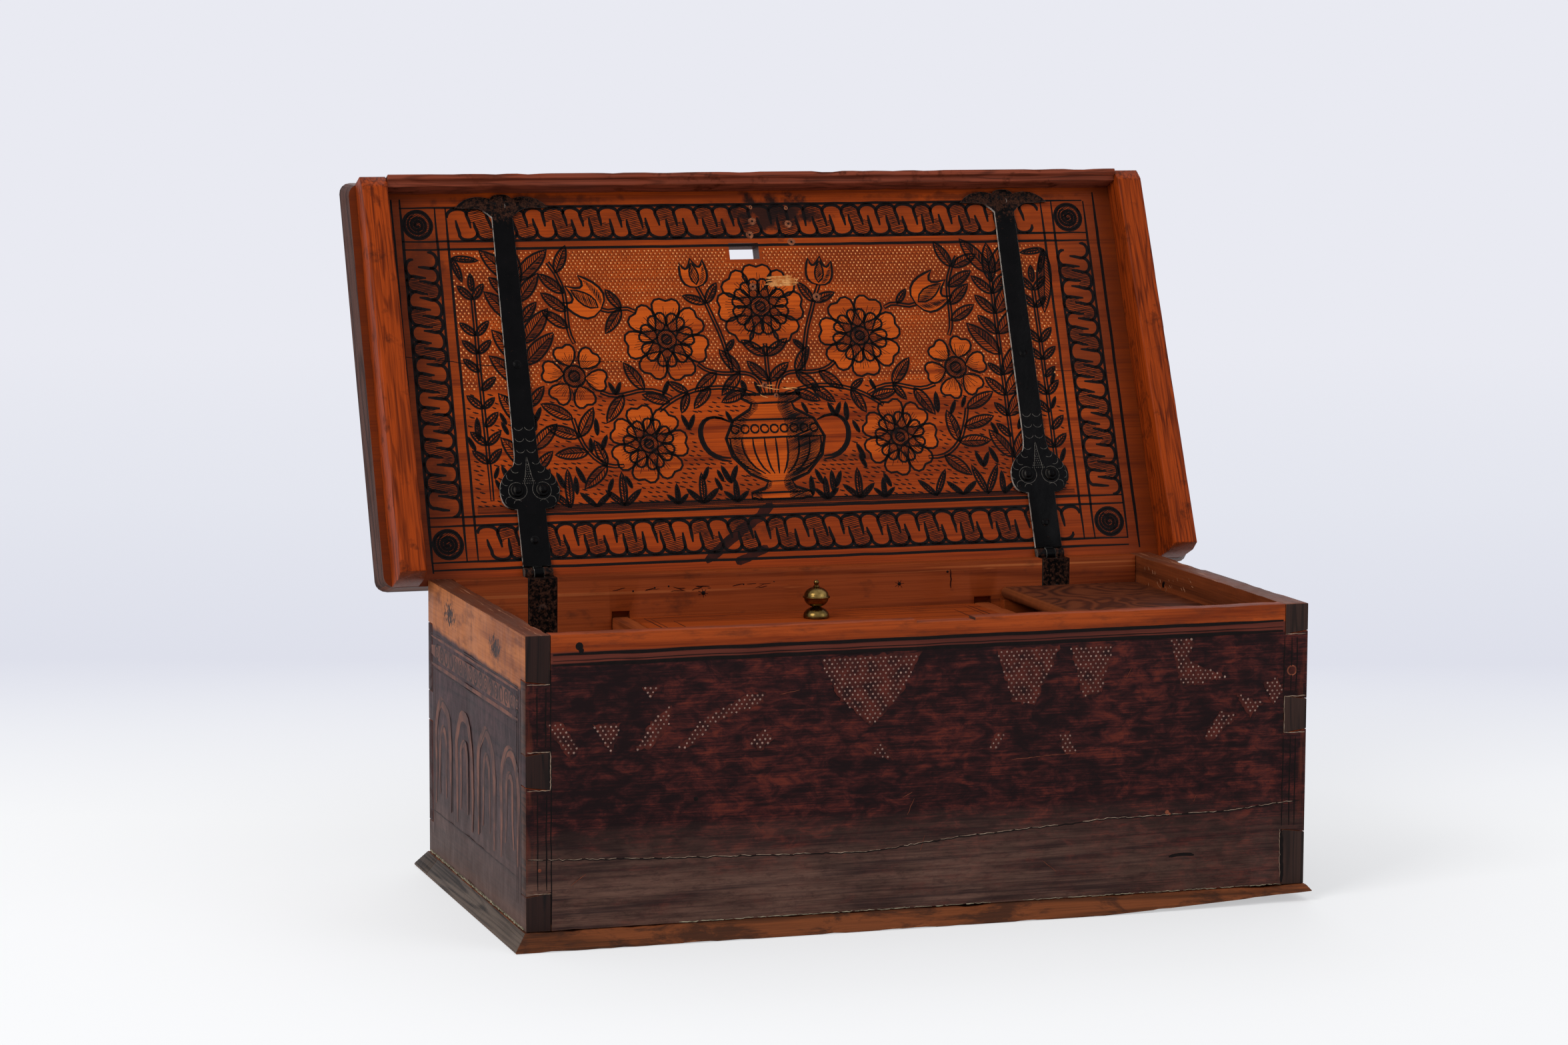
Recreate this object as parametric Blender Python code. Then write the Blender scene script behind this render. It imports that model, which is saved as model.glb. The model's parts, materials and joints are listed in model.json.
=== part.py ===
"""Wooden casket with a strap-hinged lid, a knobbed inner lid and a till cover.

Metres, +Z up. The origin is the middle of the base's underside. The front looks along -Y
and the lid leans back over +Y, as far as its own rear edge lets it.
"""
import math

import bmesh
import bpy
from mathutils import Matrix, Vector

# Case
BODY_WIDTH = 0.480
BODY_DEPTH = 0.245
WALL_HEIGHT = 0.170
FRONT_THICKNESS = 0.011
BACK_THICKNESS = 0.011
END_THICKNESS = 0.0145
FIT_GAP = 0.0003

# Base: one wide board and a narrow strip behind it, with a bevel all round
BASE_THICKNESS = 0.010
BASE_PROJECTION = 0.008
BASE_TOP_PROJECTION = 0.001
BASE_LIP = 0.0015
BASE_STRIP_WIDTH = 0.034
WORN_CORNER_RUN = 0.140
WORN_CORNER_REACH = 0.080
WORN_CORNER_RISE = 0.0065

# Dovetails: heights of the pins that the end boards show on the front
LEFT_TOP_PIN = 0.028
LEFT_MID_PIN = 0.022
LEFT_MID_PIN_DROP = 0.0665
LEFT_BOTTOM_PIN = 0.022
RIGHT_TOP_PIN = 0.018
RIGHT_MID_PIN = 0.022
RIGHT_MID_PIN_DROP = 0.0555
RIGHT_BOTTOM_PIN = 0.0335
PIN_RAKE = 0.002

# Shallow recess in the front rim
RIM_RECESS_WIDTH = 0.036
RIM_RECESS_DEPTH = 0.0017
RIM_RECESS_X = 0.011

# Inside: partitions in stopped housings, ledgers, inner lid and till cover
PARTITION_THICKNESS = 0.0105
PARTITION_SPACING = 0.240
HOUSING_DEPTH = 0.004
HOUSING_HEADROOM = 0.004
HOUSING_FIT = 0.0004
INNER_LID_DROP = 0.027
INNER_LID_THICKNESS = 0.007
INNER_LID_CLEARANCE = 0.0006
TILL_COVER_DROP = 0.017
TILL_COVER_THICKNESS = 0.0075
TILL_COVER_CLEARANCE = 0.0006
TILL_COVER_REAR_GAP = 0.0018
FINGER_GAP = 0.0067
LEDGER_WIDTH = 0.008
LEDGER_HEIGHT = 0.009

# Knob of the inner lid
KNOB_X = -0.003
KNOB_FROM_REAR = 0.045
KNOB_BALL_DIAMETER = 0.0172
KNOB_BALL_HEIGHT = 0.0122
KNOB_BAND_HEIGHT = 0.0012
KNOB_BAND_PROJECTION = 0.0009
KNOB_ROSETTE_DIAMETER = 0.0164
KNOB_ROSETTE_HEIGHT = 0.0066
KNOB_ROSETTE_RIM = 0.0008
KNOB_NECK_DIAMETER = 0.0056
KNOB_FINIAL_DIAMETER = 0.0034
KNOB_FINIAL_STEM = 0.0009
KNOB_COLLAR_DIAMETER = 0.0040
KNOB_PIN_DIAMETER = 0.0024
KNOB_PEEN_DIAMETER = 0.0064
KNOB_PEEN_HEIGHT = 0.0012

# Lid
LID_THICKNESS = 0.013
LID_SIDE_FLARE = 0.004
LID_FRONT_FLARE = 0.006
LID_CORNER_RADIUS = 0.007
LID_EDGE_ROUND = 0.002
LID_OPEN_ANGLE = math.radians(112.5)
SIDE_LAP_CLEARANCE = 0.0057
FRONT_LAP_CLEARANCE = 0.0044
BATTEN_WIDTH = 0.017
BATTEN_FRONT_DEPTH = 0.020
BATTEN_REAR_DEPTH = 0.028
BATTEN_FRONT_CHAMFER_RUN = 0.009
BATTEN_FRONT_CHAMFER_RISE = 0.006
BATTEN_REAR_CHAMFER_RUN = 0.003
BATTEN_REAR_CHAMFER_RISE = 0.009
BATTEN_ARRIS = 0.0012
BATTEN_SETBACK = 0.0045
RAIL_THICKNESS = 0.0072
RAIL_DEPTH = 0.018
RAIL_HOLLOW = 0.004
HASP_SLOT_WIDTH = 0.020
HASP_SLOT_HEIGHT = 0.011
HASP_SLOT_X = -0.0116
HASP_SLOT_FROM_FRONT = 0.048

# Strap hinges
HINGE_FROM_END = 0.070
STRAP_THICKNESS = 0.002
STRAP_ROOT_WIDTH = 0.018
STRAP_NECK_WIDTH = 0.0150
STRAP_TIP_WIDTH = 0.0134
STRAP_END_GAP = 0.0012
PALMETTE_WIDTH = 0.0382
PALMETTE_START = 0.0412
PALMETTE_WIDEST = 0.0535
PALMETTE_SHOULDER = 0.0685
PALMETTE_SHOULDER_WIDTH = 0.0216
PALMETTE_END = 0.0810
CROSS_WIDTH = 0.0605
CROSS_HEIGHT = 0.0154
CROSS_DIP = 0.0030
CROSS_DIP_SPREAD = 0.0146
CROSS_HUMP = 0.0015
CROSS_HUMP_SPREAD = 0.0300
CROSS_TIP_DROP = 0.0087
CROSS_UNDERSIDE = 0.0093
CROSS_UNDERSIDE_SPREAD = 0.0346
BARREL_RADIUS = 0.00375
HINGE_PIN_DIAMETER = 0.003
BARREL_WIDTH = 0.006
LEAF_THICKNESS = 0.002
LEAF_END_MARGIN = 0.010
LID_REST_DROP = 0.0042
WINDOW_LENGTH = 0.0065
RUNNING_GAP = 0.0003

# Nails and bosses in the ironwork
NAIL_HEAD_DIAMETER = 0.0056
NAIL_HEAD_HEIGHT = 0.0012
NAIL_SHANK_DIAMETER = 0.0022
NAIL_LENGTH = 0.008
FLUSH_HEAD_DIAMETER = 0.0048
FLUSH_HEAD_HEIGHT = 0.0012
STRAP_LOW_NAIL = 0.021
STRAP_MID_NAIL_FROM_END = 0.1135
STRAP_TOP_NAIL_FROM_END = 0.0077
LEAF_NAIL_MARGIN = 0.0026
BOSS_COLLAR_DIAMETER = 0.0085
BOSS_COLLAR_HEIGHT = 0.0012
BOSS_DOME_DIAMETER = 0.0054
BOSS_HEIGHT = 0.0032
BOSS_SPACING = 0.0164
BOSS_STATION = 0.0535

# Facets of round pieces
ROUND_STEPS = 24
NAIL_STEPS = 12

# Heights and places that follow from the sizes above
RIM = BASE_THICKNESS + WALL_HEIGHT
FRONT_FACE = -BODY_DEPTH / 2
BACK_FACE = BODY_DEPTH / 2
FRONT_INNER = FRONT_FACE + FRONT_THICKNESS
BACK_INNER = BACK_FACE - BACK_THICKNESS
HALF_WIDTH = BODY_WIDTH / 2
END_INNER = HALF_WIDTH - END_THICKNESS
PARTITION_X = PARTITION_SPACING / 2
HINGE_X = HALF_WIDTH - HINGE_FROM_END
INNER_LID_TOP = RIM - INNER_LID_DROP
TILL_COVER_TOP = RIM - TILL_COVER_DROP

# The strap lies on the front rim when the lid is shut, and its middle plane holds the hinge axis
AXIS_Z = RIM + FIT_GAP + STRAP_THICKNESS / 2
LID_FACE = STRAP_THICKNESS / 2 + FIT_GAP
REAR_REACH = (AXIS_Z - RIM + LID_REST_DROP + LID_FACE * math.cos(LID_OPEN_ANGLE)) / math.sin(LID_OPEN_ANGLE)
AXIS_Y = BACK_FACE + FIT_GAP - REAR_REACH * math.cos(LID_OPEN_ANGLE) - LID_FACE * math.sin(LID_OPEN_ANGLE)
LID_FRONT = AXIS_Y - FRONT_FACE + FRONT_LAP_CLEARANCE + RAIL_THICKNESS
BATTEN_INNER = HALF_WIDTH + SIDE_LAP_CLEARANCE
LID_HALF_WIDTH = BATTEN_INNER + BATTEN_WIDTH + BATTEN_SETBACK
STRAP_LENGTH = LID_FRONT - RAIL_THICKNESS - STRAP_END_GAP

# The leaf's nails keep clear of the till cover's ledger, above and below it
TILL_LEDGER_TOP = TILL_COVER_TOP - TILL_COVER_THICKNESS - FIT_GAP
LEAF_UPPER_NAIL = TILL_LEDGER_TOP + NAIL_HEAD_DIAMETER / 2 + LEAF_NAIL_MARGIN
LEAF_LOWER_NAIL = TILL_LEDGER_TOP - LEDGER_HEIGHT - NAIL_HEAD_DIAMETER / 2 - LEAF_NAIL_MARGIN
LEAF_FOOT = LEAF_LOWER_NAIL - LEAF_END_MARGIN

# Colours, roughness and metallic value of each finish
FINISHES = {
    "dark_stained_wood": ((0.075, 0.024, 0.014, 1.0), 0.55, 0.0),
    "bare_wood": ((0.45, 0.19, 0.075, 1.0), 0.6, 0.0),
    "base_wood": ((0.16, 0.085, 0.048, 1.0), 0.65, 0.0),
    "polished_wood": ((0.40, 0.10, 0.022, 1.0), 0.4, 0.0),
    "burl_wood": ((0.17, 0.06, 0.022, 1.0), 0.5, 0.0),
    "black_iron": ((0.012, 0.011, 0.011, 1.0), 0.5, 1.0),
    "old_brass": ((0.27, 0.19, 0.07, 1.0), 0.35, 1.0),
}


def clear_scene():
    for item in list(bpy.data.objects):
        bpy.data.objects.remove(item, do_unlink=True)


def make_finish(name):
    colour, roughness, metallic = FINISHES[name]
    finish = bpy.data.materials.new(name)
    finish.use_nodes = True
    shader = finish.node_tree.nodes["Principled BSDF"]
    shader.inputs["Base Color"].default_value = colour
    shader.inputs["Roughness"].default_value = roughness
    shader.inputs["Metallic"].default_value = metallic
    return finish


def add_object(name, bm, finish, parent=None, smooth=False):
    """Turn a bmesh into a named object with its finish, hung from a parent's frame."""
    bmesh.ops.recalc_face_normals(bm, faces=bm.faces)
    mesh = bpy.data.meshes.new(name)
    bm.to_mesh(mesh)
    bm.free()
    if smooth:
        mesh.shade_smooth()
        mesh.set_sharp_from_angle(angle=math.radians(40))
    item = bpy.data.objects.new(name, mesh)
    bpy.context.scene.collection.objects.link(item)
    item.data.materials.append(bpy.data.materials[finish])
    item.parent = parent
    return item


def add_frame(name, location, turn=0.0):
    """An empty on a joint's axis, turned about X."""
    frame = bpy.data.objects.new(name, None)
    bpy.context.scene.collection.objects.link(frame)
    frame.location = location
    frame.rotation_euler = (turn, 0.0, 0.0)
    return frame


def combine(target, cutter, operation):
    """Boolean a hidden helper object into a piece."""
    cutter.hide_render = True
    cutter.display_type = "WIRE"
    step = target.modifiers.new(cutter.name, "BOOLEAN")
    step.operation = operation
    step.solver = "EXACT"
    step.object = cutter


def prism(outline, start, depth, axis, bm=None):
    """Close an outline of 2-D points into a face and extrude it along an axis.

    The outline's pairs fill the two other axes in order, so X takes (y, z), Y takes (x, z)
    and Z takes (x, y).
    """
    bm = bm or bmesh.new()
    slot = "XYZ".index(axis)
    corners = []
    for pair in outline:
        place = list(pair)
        place.insert(slot, start)
        corners.append(bm.verts.new(place))
    face = bm.faces.new(corners)
    grown = bmesh.ops.extrude_face_region(bm, geom=[face], use_keep_orig=True)
    shift = Vector((0.0, 0.0, 0.0))
    shift[slot] = depth
    moved = [part for part in grown["geom"] if isinstance(part, bmesh.types.BMVert)]
    bmesh.ops.translate(bm, verts=moved, vec=shift)
    return bm


def block(low, high, bm=None):
    """A box between two corners."""
    bm = bm or bmesh.new()
    size = Vector(high) - Vector(low)
    middle = (Vector(high) + Vector(low)) / 2
    bmesh.ops.create_cube(bm, size=1.0, matrix=Matrix.Translation(middle) @ Matrix.Diagonal((*size, 1.0)))
    return bm


def turned(profile, steps, bm=None, matrix=Matrix.Identity(4)):
    """Revolve a profile of (radius, height) points about Z; points at radius 0 close the piece."""
    shape = bmesh.new()
    points = [shape.verts.new((radius, 0.0, height)) for radius, height in profile]
    edges = [shape.edges.new(pair) for pair in zip(points, points[1:])]
    if profile[0][0] > 0.0:
        edges.append(shape.edges.new((points[-1], points[0])))
    bmesh.ops.spin(shape, geom=points + edges, axis=(0, 0, 1), cent=(0, 0, 0), angle=math.tau,
                   steps=steps, use_merge=True)
    bmesh.ops.remove_doubles(shape, verts=shape.verts, dist=1e-6)
    bmesh.ops.recalc_face_normals(shape, faces=shape.faces)
    bmesh.ops.transform(shape, matrix=matrix, verts=shape.verts)
    if bm is None:
        return shape
    spare = bpy.data.meshes.new("turned")
    shape.to_mesh(spare)
    shape.free()
    bm.from_mesh(spare)
    bpy.data.meshes.remove(spare)
    return bm


def rod(diameter, low, high, steps, bm=None, matrix=Matrix.Identity(4)):
    """A plain round bar along Z between two heights."""
    radius = diameter / 2
    return turned([(0.0, high), (radius, high), (radius, low), (0.0, low)], steps, bm, matrix)


def curve(start, control, end, count):
    """Points along a bent stretch of an outline, without its first point."""
    stretch = []
    for index in range(1, count + 1):
        t = index / count
        stretch.append(tuple((1 - t) ** 2 * a + 2 * t * (1 - t) * b + t ** 2 * c
                             for a, b, c in zip(start, control, end)))
    return stretch


def pin_spans(side):
    """Heights (low, high, raked below, raked above) of the pins of one end board."""
    top, mid, drop, bottom = {
        -1: (LEFT_TOP_PIN, LEFT_MID_PIN, LEFT_MID_PIN_DROP, LEFT_BOTTOM_PIN),
        1: (RIGHT_TOP_PIN, RIGHT_MID_PIN, RIGHT_MID_PIN_DROP, RIGHT_BOTTOM_PIN),
    }[side]
    foot = BASE_THICKNESS + FIT_GAP
    return [
        (foot, foot + bottom, False, True),
        (RIM - drop - mid, RIM - drop, True, True),
        (RIM - top, RIM, True, False),
    ]


def tail_edge(side):
    """One end of a tailed board from foot to rim: sockets for the pins, tails between them."""
    outer = side * HALF_WIDTH
    inner = side * (END_INNER - FIT_GAP)
    edge = []
    for low, high, raked_below, raked_above in pin_spans(side):
        if raked_below:
            edge += [(outer, low + PIN_RAKE - FIT_GAP), (inner, low - FIT_GAP)]
        else:
            edge.append((inner, low))
        if raked_above:
            edge += [(inner, high + FIT_GAP), (outer, high - PIN_RAKE + FIT_GAP)]
        else:
            edge.append((inner, high))
    return edge


def make_tailed_board(name, face, thickness, finish):
    """Front or back board, dovetailed at both ends, with stopped housings for the partitions."""
    outline = tail_edge(1) + tail_edge(-1)[::-1]
    inward = 1 if face < 0 else -1
    board = add_object(name, prism(outline, face, inward * thickness, "Y"), finish)
    cutter = bmesh.new()
    inner = face + inward * thickness
    half = PARTITION_THICKNESS / 2 + HOUSING_FIT
    for side in (-1, 1):
        spans = sorted((inner - inward * HOUSING_DEPTH, inner + inward * HOUSING_DEPTH))
        block((side * PARTITION_X - half, spans[0], BASE_THICKNESS - HOUSING_DEPTH),
              (side * PARTITION_X + half, spans[1], INNER_LID_TOP + HOUSING_HEADROOM), cutter)
    combine(board, add_object(name + "_housings", cutter, finish), "DIFFERENCE")
    return board


def make_end_board(side, name):
    """End board: five stacked strips run between the shoulders, and the pins run on to the faces."""
    outer, inner = side * HALF_WIDTH, side * END_INNER
    spans = pin_spans(side)
    levels = []
    for low, high, raked_below, raked_above in spans:
        levels.append((low, low + PIN_RAKE * raked_below))
        levels.append((high, high - PIN_RAKE * raked_above))
    shoulder_front = FRONT_INNER + FIT_GAP
    shoulder_back = BACK_INNER - FIT_GAP
    bm = bmesh.new()
    rows = [[bm.verts.new((x, shoulder_front, z)) for x, z in ((inner, level[0]), (outer, level[1]))]
            for level in levels]
    strips = [bm.faces.new((*lower, *reversed(upper))) for lower, upper in zip(rows, rows[1:])]
    grown = bmesh.ops.extrude_face_region(bm, geom=strips, use_keep_orig=True)
    moved = [part for part in grown["geom"] if isinstance(part, bmesh.types.BMVert)]
    bmesh.ops.translate(bm, verts=moved, vec=(0.0, shoulder_back - shoulder_front, 0.0))
    caps = [part for part in grown["geom"] if isinstance(part, bmesh.types.BMFace)]
    caps.sort(key=lambda face: face.calc_center_median().z)
    for faces, reach in ((strips, FRONT_FACE - shoulder_front), (caps, BACK_FACE - shoulder_back)):
        pins = bmesh.ops.extrude_discrete_faces(bm, faces=faces[::2])
        ends = {corner for face in pins["faces"] for corner in face.verts}
        bmesh.ops.translate(bm, verts=list(ends), vec=(0.0, reach, 0.0))
    return add_object(name, bm, "dark_stained_wood")


def make_base():
    """Bottom boards: a bevelled slab, split near the rear, with its front right corner worn thin."""
    lower_x, lower_y = HALF_WIDTH + BASE_PROJECTION, BODY_DEPTH / 2 + BASE_PROJECTION
    upper_x, upper_y = HALF_WIDTH + BASE_TOP_PROJECTION, BODY_DEPTH / 2 + BASE_TOP_PROJECTION
    split = lower_y - BASE_STRIP_WIDTH
    for name, keep, gap in (("base_board", -1, -FIT_GAP / 2), ("base_rear_strip", 1, FIT_GAP / 2)):
        bm = block((-lower_x, -lower_y, 0.0), (lower_x, lower_y, BASE_LIP))
        top = max(bm.faces, key=lambda face: face.calc_center_median().z)
        grown = bmesh.ops.extrude_face_region(bm, geom=[top])
        raised = [part for part in grown["geom"] if isinstance(part, bmesh.types.BMVert)]
        bmesh.ops.delete(bm, geom=[top], context="FACES_ONLY")
        for corner in raised:
            corner.co.x = math.copysign(upper_x, corner.co.x)
            corner.co.y = math.copysign(upper_y, corner.co.y)
            corner.co.z = BASE_THICKNESS
        trim(bm, (0.0, split + gap, 0.0), (0.0, -keep, 0.0))
        if keep < 0:
            reach = Vector((0.0, WORN_CORNER_REACH, -WORN_CORNER_RISE))
            run = Vector((-WORN_CORNER_RUN, 0.0, -WORN_CORNER_RISE))
            trim(bm, (lower_x, -lower_y, WORN_CORNER_RISE), reach.cross(run) * -1)
        add_object(name, bm, "base_wood")


def trim(bm, point, outward):
    """Cut away what lies on the outward side of a plane and close the cut."""
    direction = Vector(outward).normalized()
    found = bmesh.ops.bisect_plane(bm, geom=bm.verts[:] + bm.edges[:] + bm.faces[:], plane_co=point,
                                   plane_no=direction, clear_outer=True)
    rim = [part for part in found["geom_cut"] if isinstance(part, bmesh.types.BMEdge)]
    bmesh.ops.contextual_create(bm, geom=rim)


def make_partitions():
    foot = BASE_THICKNESS + FIT_GAP
    reach = HOUSING_DEPTH - HOUSING_FIT
    for side, name in ((-1, "left"), (1, "right")):
        low = side * PARTITION_X - PARTITION_THICKNESS / 2
        bm = block((low, FRONT_INNER - reach, foot),
                   (low + PARTITION_THICKNESS, BACK_INNER + reach, INNER_LID_TOP))
        add_object(name + "_partition", bm, "bare_wood")
        face = side * (PARTITION_X - PARTITION_THICKNESS / 2 - FIT_GAP)
        top = INNER_LID_TOP - INNER_LID_THICKNESS - FIT_GAP
        spans = sorted((face, face - side * LEDGER_WIDTH))
        ledger = block((spans[0], FRONT_INNER + FIT_GAP, top - LEDGER_HEIGHT),
                       (spans[1], BACK_INNER - FIT_GAP, top))
        add_object(name + "_lid_ledger", ledger, "bare_wood")


def make_till_ledgers():
    low = PARTITION_X + PARTITION_THICKNESS / 2 + FINGER_GAP
    for name, wall, inward in (("till_front_ledger", FRONT_INNER, 1), ("till_back_ledger", BACK_INNER, -1)):
        spans = sorted((wall + inward * FIT_GAP, wall + inward * LEDGER_WIDTH))
        bm = block((low, spans[0], TILL_LEDGER_TOP - LEDGER_HEIGHT),
                   (END_INNER - FIT_GAP, spans[1], TILL_LEDGER_TOP))
        add_object(name, bm, "bare_wood")


def cut_rim_recess(board):
    half = RIM_RECESS_WIDTH / 2
    bm = block((RIM_RECESS_X - half, FRONT_FACE - FRONT_THICKNESS, RIM - RIM_RECESS_DEPTH),
               (RIM_RECESS_X + half, FRONT_INNER + FRONT_THICKNESS, RIM + FRONT_THICKNESS))
    combine(board, add_object("front_rim_recess", bm, "bare_wood"), "DIFFERENCE")


def add_nail(name, head, matrix, parent=None, steps=NAIL_STEPS):
    """A nail under a given head, whose profile starts on the axis; its shank runs down -Z."""
    shank = NAIL_SHANK_DIAMETER / 2
    low = head[-1][1]
    profile = head + [(shank, low), (shank, -NAIL_LENGTH * 0.75), (0.0, -NAIL_LENGTH)]
    add_object(name, turned(profile, steps, matrix=matrix), "black_iron", parent, smooth=True)


def domed_head():
    radius = NAIL_HEAD_DIAMETER / 2
    return [(0.0, NAIL_HEAD_HEIGHT), (radius * 0.55, NAIL_HEAD_HEIGHT * 0.8), (radius, FIT_GAP)]


def flush_head():
    """Countersunk head, level with the iron round it."""
    radius, shank = FLUSH_HEAD_DIAMETER / 2, NAIL_SHANK_DIAMETER / 2
    return [(0.0, 0.0), (radius, 0.0), (shank, -FLUSH_HEAD_HEIGHT)]


def scroll_boss_head():
    """Boss of a scroll: a dome that rises out of a flat collar."""
    collar, dome = BOSS_COLLAR_DIAMETER / 2, BOSS_DOME_DIAMETER / 2
    top = FIT_GAP + BOSS_COLLAR_HEIGHT
    head = [(0.0, BOSS_HEIGHT)]
    for step in range(1, 5):
        angle = math.pi / 2 * step / 4
        head.append((dome * math.sin(angle), top + (BOSS_HEIGHT - top) * math.cos(angle)))
    return head + [(collar * 0.9, top), (collar, top - BOSS_COLLAR_HEIGHT / 2), (collar, FIT_GAP)]


def nail_hole(matrix, bm):
    """The hole that a nail's shank sits in, open through its seat."""
    rod(NAIL_SHANK_DIAMETER + 2 * FIT_GAP, -NAIL_LENGTH - FIT_GAP, STRAP_THICKNESS, NAIL_STEPS, bm, matrix)


def flush_hole(matrix, bm):
    """As nail_hole, with a countersink that a flush head sits in."""
    shank = NAIL_SHANK_DIAMETER / 2 + FIT_GAP
    head = FLUSH_HEAD_DIAMETER / 2 + FIT_GAP
    turned([(0.0, STRAP_THICKNESS), (head, STRAP_THICKNESS), (head, 0.0), (shank, -FLUSH_HEAD_HEIGHT - FIT_GAP),
            (shank, -NAIL_LENGTH - FIT_GAP), (0.0, -NAIL_LENGTH - FIT_GAP)], NAIL_STEPS, bm, matrix)


def across(x, y, z):
    """Turns a piece modelled along Z to lie along X."""
    return Matrix.Translation((x, y, z)) @ Matrix.Rotation(math.pi / 2, 4, "Y")


def make_hinge_leaf(name, x, board):
    """Leaf let into the back board: over the rim in a notch and down the inner face."""
    half = STRAP_ROOT_WIDTH / 2
    top = AXIS_Z - BARREL_RADIUS + LEAF_THICKNESS
    bent = BACK_INNER + LEAF_THICKNESS
    profile = [(AXIS_Y, top), (BACK_INNER, top), (BACK_INNER, LEAF_FOOT), (bent, LEAF_FOOT),
               (bent, top - LEAF_THICKNESS), (AXIS_Y, top - LEAF_THICKNESS)]
    plate_half = half - FIT_GAP / 2
    leaf = add_object(name, prism(profile, x - plate_half, 2 * plate_half, "X"), "black_iron")

    inner = BARREL_WIDTH / 2 + RUNNING_GAP
    knuckles = bmesh.new()
    for low_x, high_x in ((-half, -inner), (inner, half)):
        rod(2 * BARREL_RADIUS, low_x, high_x, ROUND_STEPS, knuckles, across(x, AXIS_Y, AXIS_Z))
    combine(leaf, add_object(name + "_knuckles", knuckles, "black_iron"), "UNION")

    window = block((x - inner, AXIS_Y - WINDOW_LENGTH, top - 2 * LEAF_THICKNESS),
                   (x + inner, AXIS_Y + 2 * BARREL_RADIUS, AXIS_Z + 2 * BARREL_RADIUS))
    combine(leaf, add_object(name + "_window", window, "black_iron"), "DIFFERENCE")
    openings = rod(HINGE_PIN_DIAMETER + 2 * RUNNING_GAP, -STRAP_ROOT_WIDTH, STRAP_ROOT_WIDTH, ROUND_STEPS,
                   matrix=across(x, AXIS_Y, AXIS_Z))
    seats = [Matrix.Translation((x, BACK_INNER, height)) @ Matrix.Rotation(math.pi / 2, 4, "X")
             for height in (LEAF_UPPER_NAIL, LEAF_LOWER_NAIL)]
    for seat in seats:
        nail_hole(seat, openings)
    combine(leaf, add_object(name + "_openings", openings, "black_iron"), "DIFFERENCE")

    housing = block((x - half - FIT_GAP, BACK_INNER - LEAF_THICKNESS, top - LEAF_THICKNESS - FIT_GAP),
                    (x + half + FIT_GAP, BACK_FACE + BACK_THICKNESS, RIM + BARREL_RADIUS))
    recess = block((x - half - FIT_GAP, BACK_INNER - LEAF_THICKNESS, LEAF_FOOT - FIT_GAP),
                   (x + half + FIT_GAP, bent + FIT_GAP, RIM - FIT_GAP))
    combine(board, add_object(name + "_housing", housing, "bare_wood"), "DIFFERENCE")
    combine(board, add_object(name + "_recess", recess, "bare_wood"), "DIFFERENCE")
    holes = bmesh.new()
    for seat in seats:
        nail_hole(seat, holes)
    combine(board, add_object(name + "_nail_holes", holes, "bare_wood"), "DIFFERENCE")
    for label, seat in zip(("upper", "lower"), seats):
        add_nail(f"{name}_nail_{label}", domed_head(), seat)


def make_hinge_pin(name, x):
    half = STRAP_ROOT_WIDTH / 2
    bm = rod(HINGE_PIN_DIAMETER, -half, half, ROUND_STEPS, matrix=across(x, AXIS_Y, AXIS_Z))
    add_object(name, bm, "black_iron", smooth=True)


def strap_outline():
    """Right half of the strap from root to tip as (across, along), then its mirror."""
    root, neck, tip = STRAP_ROOT_WIDTH / 2, STRAP_NECK_WIDTH / 2, STRAP_TIP_WIDTH / 2
    belly, shoulder = PALMETTE_WIDTH / 2, PALMETTE_SHOULDER_WIDTH / 2
    half = [(root, BARREL_RADIUS + 2 * RUNNING_GAP), (root, PALMETTE_START)]
    half += curve(half[-1], (belly, PALMETTE_START), (belly, PALMETTE_WIDEST), 6)
    half += curve(half[-1], (belly, (PALMETTE_WIDEST + PALMETTE_SHOULDER) / 2),
                  (shoulder, PALMETTE_SHOULDER), 5)
    half += curve(half[-1], (neck, PALMETTE_SHOULDER + FIT_GAP), (neck, PALMETTE_END), 5)

    end, wing = STRAP_LENGTH, CROSS_WIDTH / 2
    dip = (CROSS_DIP_SPREAD / 2, end - CROSS_DIP)
    hump = (CROSS_HUMP_SPREAD / 2, end - CROSS_HUMP)
    under = (CROSS_UNDERSIDE_SPREAD / 2, end - CROSS_UNDERSIDE)
    point = (wing, end - CROSS_TIP_DROP)
    half.append((tip, end - CROSS_HEIGHT))
    half += curve(half[-1], ((tip + under[0]) / 2, under[1]), under, 4)
    half += curve(half[-1], ((under[0] + wing) / 2, under[1]), point, 4)
    half += curve(half[-1], (wing * 0.8, hump[1]), hump, 4)
    half += curve(half[-1], ((hump[0] + dip[0]) / 2, hump[1]), dip, 3)
    half += curve(half[-1], (dip[0] * 0.7, end), (dip[0] * 0.3, end), 3)
    return half + [(-x, y) for x, y in reversed(half)]


def lid_seat(x, along):
    """Where a nail sits on a strap, in the lid's closed frame: head down, shank up into the board."""
    return Matrix.Translation((x, -along, -STRAP_THICKNESS / 2)) @ Matrix.Rotation(math.pi, 4, "X")


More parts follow.
